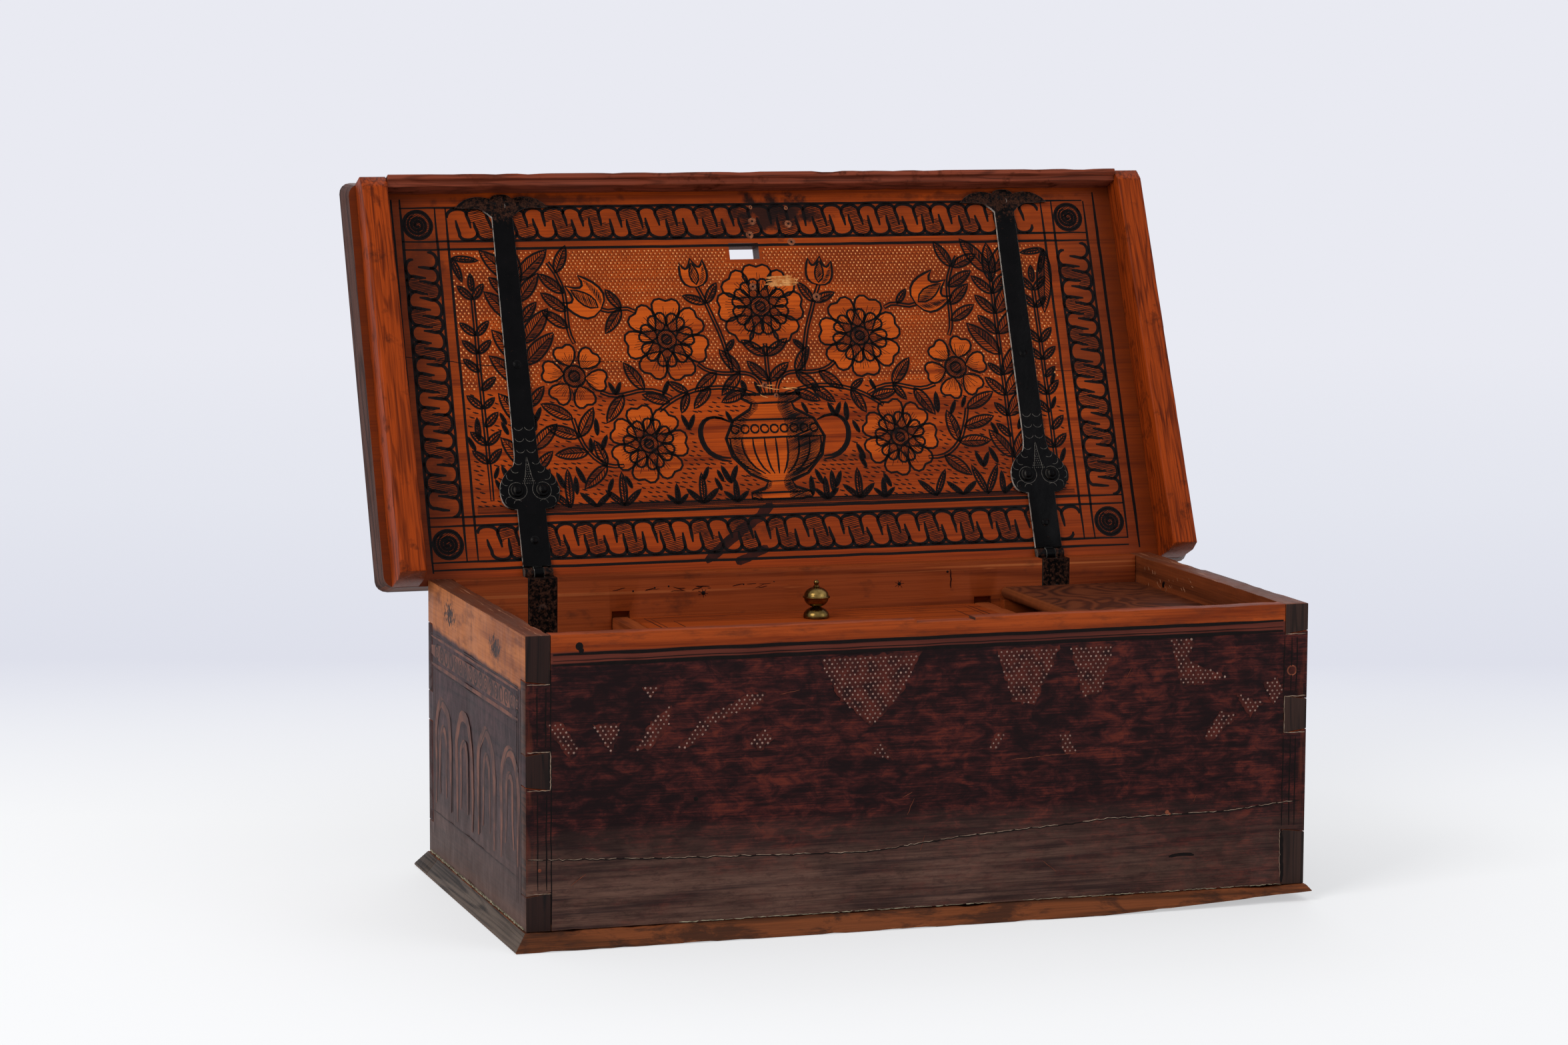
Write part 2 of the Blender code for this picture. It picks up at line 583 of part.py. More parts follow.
def make_strap(name, x, hinge, board):
    """Strap on the lid's inner face: its eye on the pin, a palmette and a cross at the end."""
    outline = [(x + across_, -along) for across_, along in strap_outline()]
    strap = add_object(name, prism(outline, -STRAP_THICKNESS / 2, STRAP_THICKNESS, "Z"), "black_iron", hinge)
    half = BARREL_WIDTH / 2
    tongue = half - FIT_GAP
    eye = block((x - tongue, -BARREL_RADIUS * 2, -STRAP_THICKNESS / 2 + FIT_GAP / 3),
                (x + tongue, -BARREL_RADIUS / 2, STRAP_THICKNESS / 2 - FIT_GAP / 3))
    combine(strap, add_object(name + "_tongue", eye, "black_iron", hinge), "UNION")
    knuckle = rod(2 * BARREL_RADIUS, -half, half, ROUND_STEPS, matrix=across(x, 0.0, 0.0))
    combine(strap, add_object(name + "_knuckle", knuckle, "black_iron", hinge), "UNION")

    fasteners = [
        ("nail_low", lid_seat(x, STRAP_LOW_NAIL), domed_head(), nail_hole, NAIL_STEPS),
        ("nail_mid", lid_seat(x, STRAP_LENGTH - STRAP_MID_NAIL_FROM_END), domed_head(), nail_hole, NAIL_STEPS),
        ("nail_top", lid_seat(x, STRAP_LENGTH - STRAP_TOP_NAIL_FROM_END), flush_head(), flush_hole, NAIL_STEPS),
    ]
    for label, side in (("left", -1), ("right", 1)):
        seat = lid_seat(x + side * BOSS_SPACING / 2, BOSS_STATION)
        fasteners.append((f"boss_{label}", seat, scroll_boss_head(), nail_hole, ROUND_STEPS))
    openings = rod(HINGE_PIN_DIAMETER + 2 * RUNNING_GAP, -BARREL_WIDTH, BARREL_WIDTH, ROUND_STEPS,
                   matrix=across(x, 0.0, 0.0))
    holes = bmesh.new()
    for label, seat, head, hole, steps in fasteners:
        hole(seat, openings)
        nail_hole(seat, holes)
        add_nail(f"{name}_{label}", head, seat, hinge, steps)
    combine(strap, add_object(name + "_openings", openings, "black_iron", hinge), "DIFFERENCE")

    clear = BARREL_RADIUS + FIT_GAP
    relief_half = STRAP_ROOT_WIDTH / 2 + RUNNING_GAP
    relief = block((x - relief_half, -clear, 0.0), (x + relief_half, 2 * clear + REAR_REACH, clear))
    combine(board, add_object(name + "_relief", relief, "bare_wood", hinge), "DIFFERENCE")
    combine(board, add_object(name + "_nail_holes", holes, "bare_wood", hinge), "DIFFERENCE")


def make_lid_board(hinge):
    """Lid board with a flared edge on three sides, round corners and a slot for the hasp."""
    top, middle = LID_FACE + LID_THICKNESS, LID_FACE + LID_THICKNESS / 2
    bm = block((-LID_HALF_WIDTH, -LID_FRONT, LID_FACE), (LID_HALF_WIDTH, REAR_REACH, top))
    for corner in bm.verts:
        if corner.co.z > middle:
            corner.co.x += math.copysign(LID_SIDE_FLARE, corner.co.x)
            corner.co.y -= LID_FRONT_FLARE if corner.co.y < 0 else 0.0
    uprights = [edge for edge in bm.edges if abs(edge.verts[0].co.z - edge.verts[1].co.z) > LID_THICKNESS / 2]
    bmesh.ops.bevel(bm, geom=uprights, offset=LID_CORNER_RADIUS, affect="EDGES", segments=4, profile=0.5)
    brim = [edge for edge in bm.edges if min(point.co.z for point in edge.verts) > middle]
    bmesh.ops.bevel(bm, geom=brim, offset=LID_EDGE_ROUND, affect="EDGES", segments=2, profile=0.5)
    board = add_object("lid_board", bm, "polished_wood", hinge)
    half = HASP_SLOT_WIDTH / 2
    station = -LID_FRONT + HASP_SLOT_FROM_FRONT
    slot = block((HASP_SLOT_X - half, station - HASP_SLOT_HEIGHT / 2, LID_FACE - LID_THICKNESS),
                 (HASP_SLOT_X + half, station + HASP_SLOT_HEIGHT / 2, top + LID_THICKNESS))
    combine(board, add_object("lid_hasp_slot", slot, "polished_wood", hinge), "DIFFERENCE")
    return board


def make_battens(hinge):
    """Battens beside the case: deeper at the rear, with both lower ends chamfered."""
    top = LID_FACE - FIT_GAP
    front, rear = -LID_FRONT, REAR_REACH
    front_low, rear_low = top - BATTEN_FRONT_DEPTH, top - BATTEN_REAR_DEPTH
    outline = [(front, top), (front, front_low + BATTEN_FRONT_CHAMFER_RISE),
               (front + BATTEN_FRONT_CHAMFER_RUN, front_low), (rear - BATTEN_REAR_CHAMFER_RUN, rear_low),
               (rear, rear_low + BATTEN_REAR_CHAMFER_RISE), (rear, top)]
    for side, name in ((-1, "left_batten"), (1, "right_batten")):
        start = BATTEN_INNER if side > 0 else -BATTEN_INNER - BATTEN_WIDTH
        bm = prism(outline, start, BATTEN_WIDTH, "X")
        arrises = [edge for edge in bm.edges
                   if abs(edge.verts[0].co.y - edge.verts[1].co.y) > BATTEN_REAR_DEPTH
                   and max(point.co.z for point in edge.verts) < front_low + BATTEN_ARRIS]
        bmesh.ops.bevel(bm, geom=arrises, offset=BATTEN_ARRIS, affect="EDGES", segments=1, profile=0.5)
        add_object(name, bm, "polished_wood", hinge)


def make_front_rail(hinge):
    """Rail under the lid's front edge, hollowed along its inner lower arris."""
    top = LID_FACE - FIT_GAP
    low = top - RAIL_DEPTH
    front = -LID_FRONT
    inner = front + RAIL_THICKNESS
    outline = [(front, top), (front, low)]
    outline.append((inner - RAIL_HOLLOW, low))
    outline += curve(outline[-1], (inner - RAIL_HOLLOW, low + RAIL_HOLLOW), (inner, low + RAIL_HOLLOW), 4)
    outline.append((inner, top))
    length = 2 * (BATTEN_INNER - FIT_GAP)
    add_object("front_rail", prism(outline, -length / 2, length, "X"), "polished_wood", hinge)


def dome(rim, seat, height, steps=8):
    """Outline of a raised dome as (radius, height), from its rim up to the flat seat on its crown."""
    reach = math.acos(seat / rim)
    return [(rim * math.cos(reach * step / steps), height * math.sin(reach * step / steps) / math.sin(reach))
            for step in range(steps + 1)]


def make_inner_lid():
    """Loose lid between the partitions, with a brass knob threaded on a peened pin."""
    rear = BACK_INNER - INNER_LID_CLEARANCE
    knob_y = BACK_FACE - KNOB_FROM_REAR
    seat = add_frame("inner_lid_seat", (KNOB_X, knob_y, INNER_LID_TOP))
    half = PARTITION_X - PARTITION_THICKNESS / 2 - INNER_LID_CLEARANCE
    panel = add_object("inner_lid_panel", block(
        (-half - KNOB_X, FRONT_INNER + INNER_LID_CLEARANCE - knob_y, -INNER_LID_THICKNESS),
        (half - KNOB_X, rear - knob_y, 0.0)), "bare_wood", seat)
    bore = KNOB_PIN_DIAMETER + 2 * FIT_GAP
    hole = rod(bore, -2 * INNER_LID_THICKNESS, INNER_LID_THICKNESS, NAIL_STEPS)
    combine(panel, add_object("inner_lid_panel_hole", hole, "bare_wood", seat), "DIFFERENCE")

    neck = KNOB_NECK_DIAMETER / 2
    wide = KNOB_ROSETTE_DIAMETER / 2
    base, crown = FIT_GAP, FIT_GAP + KNOB_ROSETTE_HEIGHT
    rosette = [(bore / 2, base), (wide, base)]
    rosette += [(radius, base + KNOB_ROSETTE_RIM + rise)
                for radius, rise in dome(wide, neck, KNOB_ROSETTE_HEIGHT - KNOB_ROSETTE_RIM)]
    rosette.append((bore / 2, crown))
    add_object("knob_rosette", turned(rosette, ROUND_STEPS), "old_brass", seat, smooth=True)

    foot = crown + FIT_GAP
    middle = foot + KNOB_BALL_HEIGHT / 2
    belly = KNOB_BALL_DIAMETER / 2
    band = KNOB_BAND_HEIGHT / 2
    shell = belly - KNOB_BAND_PROJECTION
    collar = KNOB_COLLAR_DIAMETER / 2
    cap = KNOB_BALL_HEIGHT / 2 - band
    ball = [(bore / 2, foot)]
    ball += [(radius, middle - band - drop) for radius, drop in reversed(dome(shell, neck, cap))]
    ball += [(belly, middle - band * 0.7), (belly, middle + band * 0.7)]
    ball += [(radius, middle + band + rise) for radius, rise in dome(shell, collar, cap)]
    ball.append((bore / 2, foot + KNOB_BALL_HEIGHT))
    add_object("knob_ball", turned(ball, ROUND_STEPS), "old_brass", seat, smooth=True)

    rest = foot + KNOB_BALL_HEIGHT + FIT_GAP
    waist = rest + KNOB_FINIAL_STEM
    bead = KNOB_FINIAL_DIAMETER / 2
    shank = KNOB_PIN_DIAMETER / 2
    peen = KNOB_PEEN_DIAMETER / 2
    under = -INNER_LID_THICKNESS - FIT_GAP
    pin = [(bead * math.sin(math.pi * step / 10), waist + bead + bead * math.cos(math.pi * step / 10))
           for step in range(8)]
    pin[0] = (0.0, waist + 2 * bead)
    pin += [(shank, waist), (collar, rest + KNOB_FINIAL_STEM / 3), (collar, rest), (shank, rest), (shank, under)]
    pin += [(peen, under), (peen, under - KNOB_PEEN_HEIGHT / 2), (peen * 0.6, under - KNOB_PEEN_HEIGHT),
            (0.0, under - KNOB_PEEN_HEIGHT)]
    add_object("knob_pin", turned(pin, ROUND_STEPS), "old_brass", seat, smooth=True)


def make_till_cover():
    """Loose cover of the till, with a round nosing over the finger gap."""
    low = PARTITION_X + PARTITION_THICKNESS / 2 + FINGER_GAP
    high = END_INNER - TILL_COVER_CLEARANCE
    radius = TILL_COVER_THICKNESS / 2
    outline = [(high, -TILL_COVER_THICKNESS), (high, 0.0)]
    for step in range(9):
        angle = math.pi / 2 + math.pi * step / 8
        outline.append((low + radius + radius * math.cos(angle), -radius + radius * math.sin(angle)))
    front = FRONT_INNER + TILL_COVER_CLEARANCE
    depth = BACK_INNER - TILL_COVER_REAR_GAP - front
    cover = add_object("till_cover", prism(outline, front, depth, "Y"), "burl_wood")
    cover.location = (0.0, 0.0, TILL_COVER_TOP)


def build():
    clear_scene()
    for name in FINISHES:
        make_finish(name)
    make_base()
    front = make_tailed_board("front_board", FRONT_FACE, FRONT_THICKNESS, "dark_stained_wood")
    cut_rim_recess(front)
    back = make_tailed_board("back_board", BACK_FACE, BACK_THICKNESS, "bare_wood")
    make_end_board(-1, "left_end_board")
    make_end_board(1, "right_end_board")
    make_partitions()
    make_till_ledgers()
    hinge = add_frame("lid_hinge", (0.0, AXIS_Y, AXIS_Z), -LID_OPEN_ANGLE)
    board = make_lid_board(hinge)
    make_battens(hinge)
    make_front_rail(hinge)
    for side, label in ((-1, "left"), (1, "right")):
        x = side * HINGE_X
        make_hinge_leaf(f"{label}_hinge_leaf", x, back)
        make_hinge_pin(f"{label}_hinge_pin", x)
        make_strap(f"{label}_strap", x, hinge, board)
    make_inner_lid()
    make_till_cover()


build()
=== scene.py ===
"""Looks of the wooden casket: worn boards, pen-work, punched ground, ironwork and a plain studio.

Metres, in the CAD part's frame. Drawings on a face are in millimetres, right and up on that face.
"""
import json
import math
import random
from collections import namedtuple

import bmesh
import bpy
from mathutils import Matrix, Vector, noise
from mathutils.geometry import interpolate_bezier

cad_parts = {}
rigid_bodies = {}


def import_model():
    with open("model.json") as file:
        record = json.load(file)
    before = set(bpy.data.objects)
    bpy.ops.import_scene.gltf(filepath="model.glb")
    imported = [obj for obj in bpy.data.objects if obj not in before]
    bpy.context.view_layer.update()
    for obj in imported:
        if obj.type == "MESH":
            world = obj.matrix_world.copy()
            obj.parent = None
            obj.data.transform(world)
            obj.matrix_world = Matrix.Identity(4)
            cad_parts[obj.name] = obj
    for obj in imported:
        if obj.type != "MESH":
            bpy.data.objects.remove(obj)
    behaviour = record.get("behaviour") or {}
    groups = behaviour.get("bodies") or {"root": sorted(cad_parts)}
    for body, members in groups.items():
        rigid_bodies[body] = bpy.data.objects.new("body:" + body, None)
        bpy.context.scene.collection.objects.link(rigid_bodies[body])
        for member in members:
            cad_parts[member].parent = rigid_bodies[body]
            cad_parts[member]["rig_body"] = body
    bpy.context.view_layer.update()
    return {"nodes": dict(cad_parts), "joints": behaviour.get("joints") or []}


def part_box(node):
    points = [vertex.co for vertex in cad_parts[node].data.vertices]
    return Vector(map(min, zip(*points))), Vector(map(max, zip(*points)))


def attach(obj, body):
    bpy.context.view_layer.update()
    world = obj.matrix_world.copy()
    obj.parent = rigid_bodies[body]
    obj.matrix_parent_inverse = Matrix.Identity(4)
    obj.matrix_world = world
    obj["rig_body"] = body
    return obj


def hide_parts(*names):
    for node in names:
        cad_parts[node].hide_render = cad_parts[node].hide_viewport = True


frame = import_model()

# Sizes that the drawings and finishes hang on
MM = 0.001
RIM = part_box("left_end_board")[1].z
FRONT_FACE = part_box("front_board")[0].y
BACK_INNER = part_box("back_board")[0].y
HALF_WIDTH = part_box("right_end_board")[1].x
END_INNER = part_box("right_end_board")[0].x
INNER_LID_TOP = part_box("inner_lid_panel")[1].z

# Faces of the shut lid and of its straps, up from the hinge axis
LID_INSIDE, LID_OUTSIDE = 0.0013, 0.0143
STRAP_FACE = -0.001

# Bands down from the rim: bare wood on the ends, which runs out of level, and two colours on the front
LEFT_BAND, RIGHT_BAND = 0.0296, 0.024
BAND_SLOPE, BAND_EDGE = 0.0147, 0.0014
ORANGE_BAND, RED_BAND, COLOUR_EDGE = 0.0100, 0.0165, 0.0005
RUBBED_RIM, RUBBED_EDGE = 0.003, 0.001

# Millimetres: the straps from the middle, and the heights of the pins that show on the front
HINGE_X = 170.0
LEFT_PINS = ((152, 180), (91.5, 113.5), (10, 32))
RIGHT_PINS = ((162, 180), (102.5, 124.5), (10, 43.5))

# The lid's own frame, shut, with its origin on the hinge axis
hinge = next(joint for joint in frame["joints"] if joint["name"] == "lid_hinge")
OPEN_TURN = math.radians(hinge["range_deg"][0])
AXIS = Vector(hinge["pos_m"])
LID_PLACE = Matrix.Translation(AXIS) @ Matrix.Rotation(OPEN_TURN, 4, "X")

# Pen-work and punched dots, in millimetres; a dome's top is a share of its foot, its turn in radians
INK_LIFT, INK_SINK = 0.07, 0.05
BOLD, FINE = 1.65, 0.62
BORDER_BOLD = 2.2
STALK = 1.9
HATCH_GAP = 1.05
DOT_PITCH, DOT_ROW = 2.9, 2.0
FRONT_DOT_PITCH = 3.1
DOME_TOP, DOME_TURN = 0.55, 1.7

# Where a surface counts as looking along an axis: from here on a little, from there on fully
LOOKS_LITTLE, LOOKS_FULLY = 0.55, 0.75

# The field of the lid's inside: millimetres to the right, and from the hinge
MIDDLE, TURF = -5.0, 42
FIELD_LEFT, FIELD_RIGHT, FIELD_TOP = -204, 194, 211.5

# Worn arrises, in metres and square metres; turns are in degrees, and bites are noise scales per metre
CRISP_ARRIS, SOFT_ARRIS, BASE_ARRIS = 0.0004, 0.0006, 0.0007
LONG_ARRIS = 0.05
CUT_GAP = 0.007
SMALL_FACE = 1e-5
ALONG_X, ALONG_Y = 0, 1
FLAT_TURN = 1.0
BROAD_BITE, FINE_BITE = 60.0, 190.0
SMOOTH_BOARD, SMOOTH_DOT = 35.0, 60.0

# Points closer than this are one
SAME_SPOT = 1e-6

# The studio: the camera as it stood for the photograph, the lamps and the floor
CAMERA_PLACE = Vector((-0.8094, -2.3957, 0.5314))
CAMERA_RIGHT = Vector((0.95327, -0.3021, 0.00382)).normalized()
CAMERA_DOWN = Vector((-0.03311, -0.11703, -0.99258))
LENS_MM, SENSOR_MM, FARTHEST = 96.75, 36.0, 200.0
STRAIGHT_BACK = (0.3024, 0.9532, 0.0)
LAMP_AIM = Vector((0, 0, 0.2))
LAMPS = (("key", (-2.5, -1.5, 2.2), 1.6, 58.0, (1.0, 0.98, 0.95)),
         ("fill", (2.2, -2.2, 1.6), 1.8, 14.0, (0.94, 0.97, 1.0)),
         ("back", (0.6, 2.4, 2.2), 1.8, 16.0, (0.96, 0.98, 1.0)))
ROUND_LIGHT = 0.62
FLOOR_REACH, FLOOR_DROP = 90.0, 0.0002
FLOOR_COLOUR = (0.93, 0.94, 0.96, 1.0)

# A face to draw on: its matrix, the body that it rides on and the slot of its material
Ground = namedtuple("Ground", "place body slot")


def face(origin, right, up):
    """Matrix from millimetres on a face (right, up, out of it) to metres in the part's frame."""
    turn = Matrix((right, up, Vector(right).cross(Vector(up)))).transposed().to_4x4()
    return Matrix.Translation(origin) @ turn @ Matrix.Scale(MM, 4)


FRONT = Ground(face((0, FRONT_FACE, 0), (1, 0, 0), (0, 0, 1)), "case", "dark_stained_wood")
LEFT = Ground(face((-HALF_WIDTH, 0, 0), (0, -1, 0), (0, 0, 1)), "case", "dark_stained_wood")
RIGHT = Ground(face((HALF_WIDTH, 0, 0), (0, 1, 0), (0, 0, 1)), "case", "dark_stained_wood")
BACK_WALL = Ground(face((0, BACK_INNER, 0), (1, 0, 0), (0, 0, 1)), "case", "bare_wood")
RIGHT_WALL = Ground(face((END_INNER, 0, 0), (0, -1, 0), (0, 0, 1)), "case", "bare_wood")
INNER_LID = Ground(face((0, 0, INNER_LID_TOP), (1, 0, 0), (0, 1, 0)), "inner_lid", "bare_wood")
LID_UNDER = Ground(LID_PLACE @ face((0, 0, LID_INSIDE), (1, 0, 0), (0, -1, 0)), "lid", "polished_wood")
LID_PLUGS = LID_UNDER._replace(slot="bare_wood")
LID_OVER = Ground(LID_PLACE @ face((0, 0, LID_OUTSIDE), (1, 0, 0), (0, 1, 0)), "lid", "polished_wood")
STRAPS = Ground(LID_PLACE @ face((0, 0, STRAP_FACE), (1, 0, 0), (0, -1, 0)), "lid", "black_iron")


# Finishes
def tone(red, green, blue):
    """A colour as it is seen on a screen, 0 to 255, made linear."""
    return (*(((part / 255 + 0.055) / 1.055) ** 2.4 for part in (red, green, blue)), 1.0)


def streaks(across, along, axis):
    """Scales of a noise that is drawn out along one axis."""
    scales = [across] * 3
    scales["XYZ".index(axis)] = along
    return scales


class Finish:
    """One material, built node by node on Object coordinates; lid pieces use the shut lid's frame."""

    def __init__(self, name, on_lid=False):
        self.material = bpy.data.materials.new(name)
        self.material.use_nodes = True
        self.tree = self.material.node_tree
        self.shader = self.tree.nodes["Principled BSDF"]
        place = self.add("TexCoord")
        self.spot, self.normal = place.outputs["Object"], place.outputs["Normal"]
        if on_lid:
            turn = {"Rotation": (-OPEN_TURN, 0.0, 0.0)}
            self.spot = self.vector("SUBTRACT", self.spot, AXIS)
            self.spot = self.add("Mapping", {"Vector": self.spot, **turn}).outputs[0]
            self.normal = self.add("Mapping", {"Vector": self.normal, **turn}).outputs[0]

    def add(self, kind, inputs=None, **settings):
        """A node with its inputs set to numbers or linked to sockets."""
        item = self.tree.nodes.new("ShaderNode" + kind)
        for key, value in settings.items():
            setattr(item, key, value)
        for key, value in (inputs or {}).items():
            if isinstance(value, bpy.types.NodeSocket):
                self.tree.links.new(value, item.inputs[key])
            else:
                item.inputs[key].default_value = value
        return item

    def maths(self, operation, first, second=0.0):
        return self.add("Math", {0: first, 1: second}, operation=operation).outputs[0]

    def vector(self, operation, first, second):
        return self.add("VectorMath", {0: first, 1: second}, operation=operation).outputs[0]

    def measure(self, operation, first, second=(0.0, 0.0, 0.0)):
        """A length or another single number made from vectors."""
        return self.add("VectorMath", {0: first, 1: second}, operation=operation).outputs["Value"]

    def remap(self, value, low, high, start=0.0, end=1.0):
        return self.add("MapRange", {"Value": value, "From Min": low, "From Max": high,
                                     "To Min": start, "To Max": end}).outputs[0]

    def step(self, value, place, softness):
        """0 below a place and 1 above it, with a soft edge."""
        return self.remap(value, place - softness, place + softness)

    def mix(self, share, first, second):
        return self.add("Mix", {0: share, 6: first, 7: second}, data_type="RGBA").outputs[2]

    def glaze(self, under, over, share, strength):
        """A colour laid over another one, at a part of its full strength."""
        return self.mix(self.maths("MULTIPLY", share, strength), under, over)

    def ramp(self, value, *stops):
        item = self.add("ValToRGB", {0: value})
        marks = item.color_ramp.elements
        while len(marks) < len(stops):
            marks.new(1.0)
        for mark, (place, colour) in zip(marks, stops):
            mark.position = place
            mark.color = colour
        return item.outputs[0]

    def noise(self, scale, detail=3.0, roughness=0.55, distortion=0.0):
        """Noise with its own scale, per metre, on each axis."""
        spot = self.vector("MULTIPLY", self.spot, scale)
        return self.add("TexNoise", {"Vector": spot, "Scale": 1.0, "Detail": detail, "Roughness": roughness,
                                     "Distortion": distortion}).outputs[0]

    def axis(self, name, vector=None):
        return self.add("SeparateXYZ", {0: vector or self.spot}).outputs[name]

    def facing(self, name, sign):
        """1 where the surface looks along an axis."""
        return self.remap(self.axis(name, self.normal), LOOKS_LITTLE * sign, LOOKS_FULLY * sign)

    def either_end(self, name):
        """1 where the surface looks along an axis, either way."""
        return self.maths("ADD", self.facing(name, -1), self.facing(name, 1))

    def patch(self, centre, reach, ragged, scale):
        """1 inside a ragged patch round a point, 0 outside it; reach is its size on each axis."""
        away = self.vector("DIVIDE", self.vector("SUBTRACT", self.spot, centre), reach)
        size = self.measure("LENGTH", away)
        rough = self.remap(self.noise((scale,) * 3, 4.0), 0.3, 0.7, -ragged, ragged)
        return self.remap(self.maths("ADD", size, rough), 1.0, 0.45)

    def grain(self, light, dark, along="X", figure=14.0, lines=70.0, fibre=0.5):
        """Long grain: growth rings cut lengthwise and fine fibres between them."""
        growth = self.noise(streaks(figure, figure * 0.07, along), 2.0, 0.4)
        rings = self.maths("SINE", self.maths("MULTIPLY", growth, lines))
        late = self.remap(rings, 0.1, 1.0, 0.0, 0.6)
        hair = self.noise(streaks(900.0, 14.0, along), 2.0)
        fine = self.remap(hair, 0.32, 0.68, -0.5 * fibre, 0.5 * fibre)
        self.share = self.maths("ADD", self.maths("ADD", late, fine), 0.15)
        return self.mix(self.share, light, dark)

    def worn_edge(self, radius, low=0.02, high=0.22):
        """1 on arrises, broken up so that the wear comes and goes."""
        rounded = self.add("Bevel", {"Radius": radius}, samples=6).outputs[0]
        flat = self.add("NewGeometry").outputs["Normal"]
        turn = self.measure("DOT_PRODUCT", rounded, flat)
        edge = self.remap(turn, 1.0 - low, 1.0 - high)
        return self.maths("MULTIPLY", edge, self.remap(self.noise((160.0,) * 3, 4.0), 0.38, 0.6))

    def close(self, colour, roughness, height=None, relief=0.0002, metallic=None, gloss=0.08):
        """Link a colour, a roughness (a number or a socket) and a height to the shader."""
        self.shader.inputs["Specular IOR Level"].default_value = gloss
        for key, value in (("Base Color", colour), ("Roughness", roughness), ("Metallic", metallic)):
            if isinstance(value, bpy.types.NodeSocket):
                self.tree.links.new(value, self.shader.inputs[key])
            elif value is not None:
                self.shader.inputs[key].default_value = value
        if height is not None:
            bump = self.add("Bump", {"Strength": 0.8, "Distance": relief, "Height": height})
            self.tree.links.new(bump.outputs[0], self.shader.inputs["Normal"])
        return self.material

    def stained_field(self, along="X"):
        """Dark red-brown stain, worn into small red patches that run with the grain."""
        broad = self.remap(self.noise((14.0,) * 3, 2.0), 0.35, 0.65, -0.05, 0.05)
        smudge = self.noise(streaks(140.0, 72.0, along), 8.0, 0.7, 0.5)
        rubbed = self.maths("ADD", smudge, broad)
        fibres = self.remap(self.noise(streaks(1500.0, 30.0, along), 2.0), 0.3, 0.7, -0.08, 0.08)
        self.share = self.maths("ADD", rubbed, fibres)
        return self.ramp(self.share, (0.40, tone(21, 8, 10)), (0.50, tone(36, 13, 14)),
                         (0.58, tone(55, 21, 20)), (0.72, tone(86, 34, 25)))

    def plain_stain(self):
        """The stain where nothing has worn it: long grain that shows through a dark coat."""
        return self.mix(0.6, self.stained_field(), self.grain(tone(54, 25, 22), tone(28, 13, 13), "X", 20.0))


def front_finish():
    """Front board: an orange band under the rim, a red band and the dark field; bare inside."""
    f = Finish("front_stain")
    field = f.stained_field()
    height = f.share
    x, z = f.axis("X"), f.axis("Z")
    dusty = f.grain(tone(98, 71, 61), tone(56, 40, 37), "X", 30.0, 70.0, 0.9)
    specks = f.remap(f.noise((90, 90, 260), 7.0, 0.75), 0.5, 0.64, 0.0, 0.6)
    dusty = f.mix(specks, dusty, tone(52, 35, 33))
    patchy = f.remap(f.noise((16, 16, 110), 8.0, 0.75), 0.32, 0.62, 0.3, 1.0)
    low = f.maths("MULTIPLY", f.remap(z, 0.070, 0.034), patchy)
    low = f.maths("MULTIPLY", low, f.remap(x, 0.06, 0.20, 1.0, 0.45))
    field = f.mix(low, field, dusty)
    stile = f.remap(f.maths("ABSOLUTE", x), 0.2335, 0.2365)
    scuffed = f.remap(f.noise((300, 300, 40), 4.0), 0.46, 0.64, 0.0, 0.5)
    field = f.glaze(field, tone(88, 40, 27), stile, scuffed)
    orange = f.grain(tone(146, 62, 21), tone(98, 35, 9))
    grime = f.remap(f.noise((40, 90, 160), 7.0, 0.7), 0.50, 0.66)
    orange = f.glaze(orange, tone(66, 31, 19), grime, 0.55)
    band = f.step(z, RIM - ORANGE_BAND, COLOUR_EDGE)
    red = f.mix(f.step(z, RIM - RED_BAND, COLOUR_EDGE), field, f.grain(tone(88, 40, 30), tone(50, 22, 20)))
    outside = f.mix(band, red, orange)
    colour = f.mix(f.facing("Y", -1), orange, outside)
    colour = f.mix(f.either_end("X"), colour, f.grain(tone(70, 42, 32), tone(34, 22, 20), "Y", 60.0))
    rubbed = f.mix(f.step(z, RIM - RUBBED_RIM, RUBBED_EDGE), tone(104, 78, 62), tone(140, 72, 38))
    colour = f.glaze(colour, rubbed, f.worn_edge(0.0009), 0.55)
    return f.close(colour, f.remap(height, 0.3, 0.7, 0.62, 0.46), height, 0.0001)


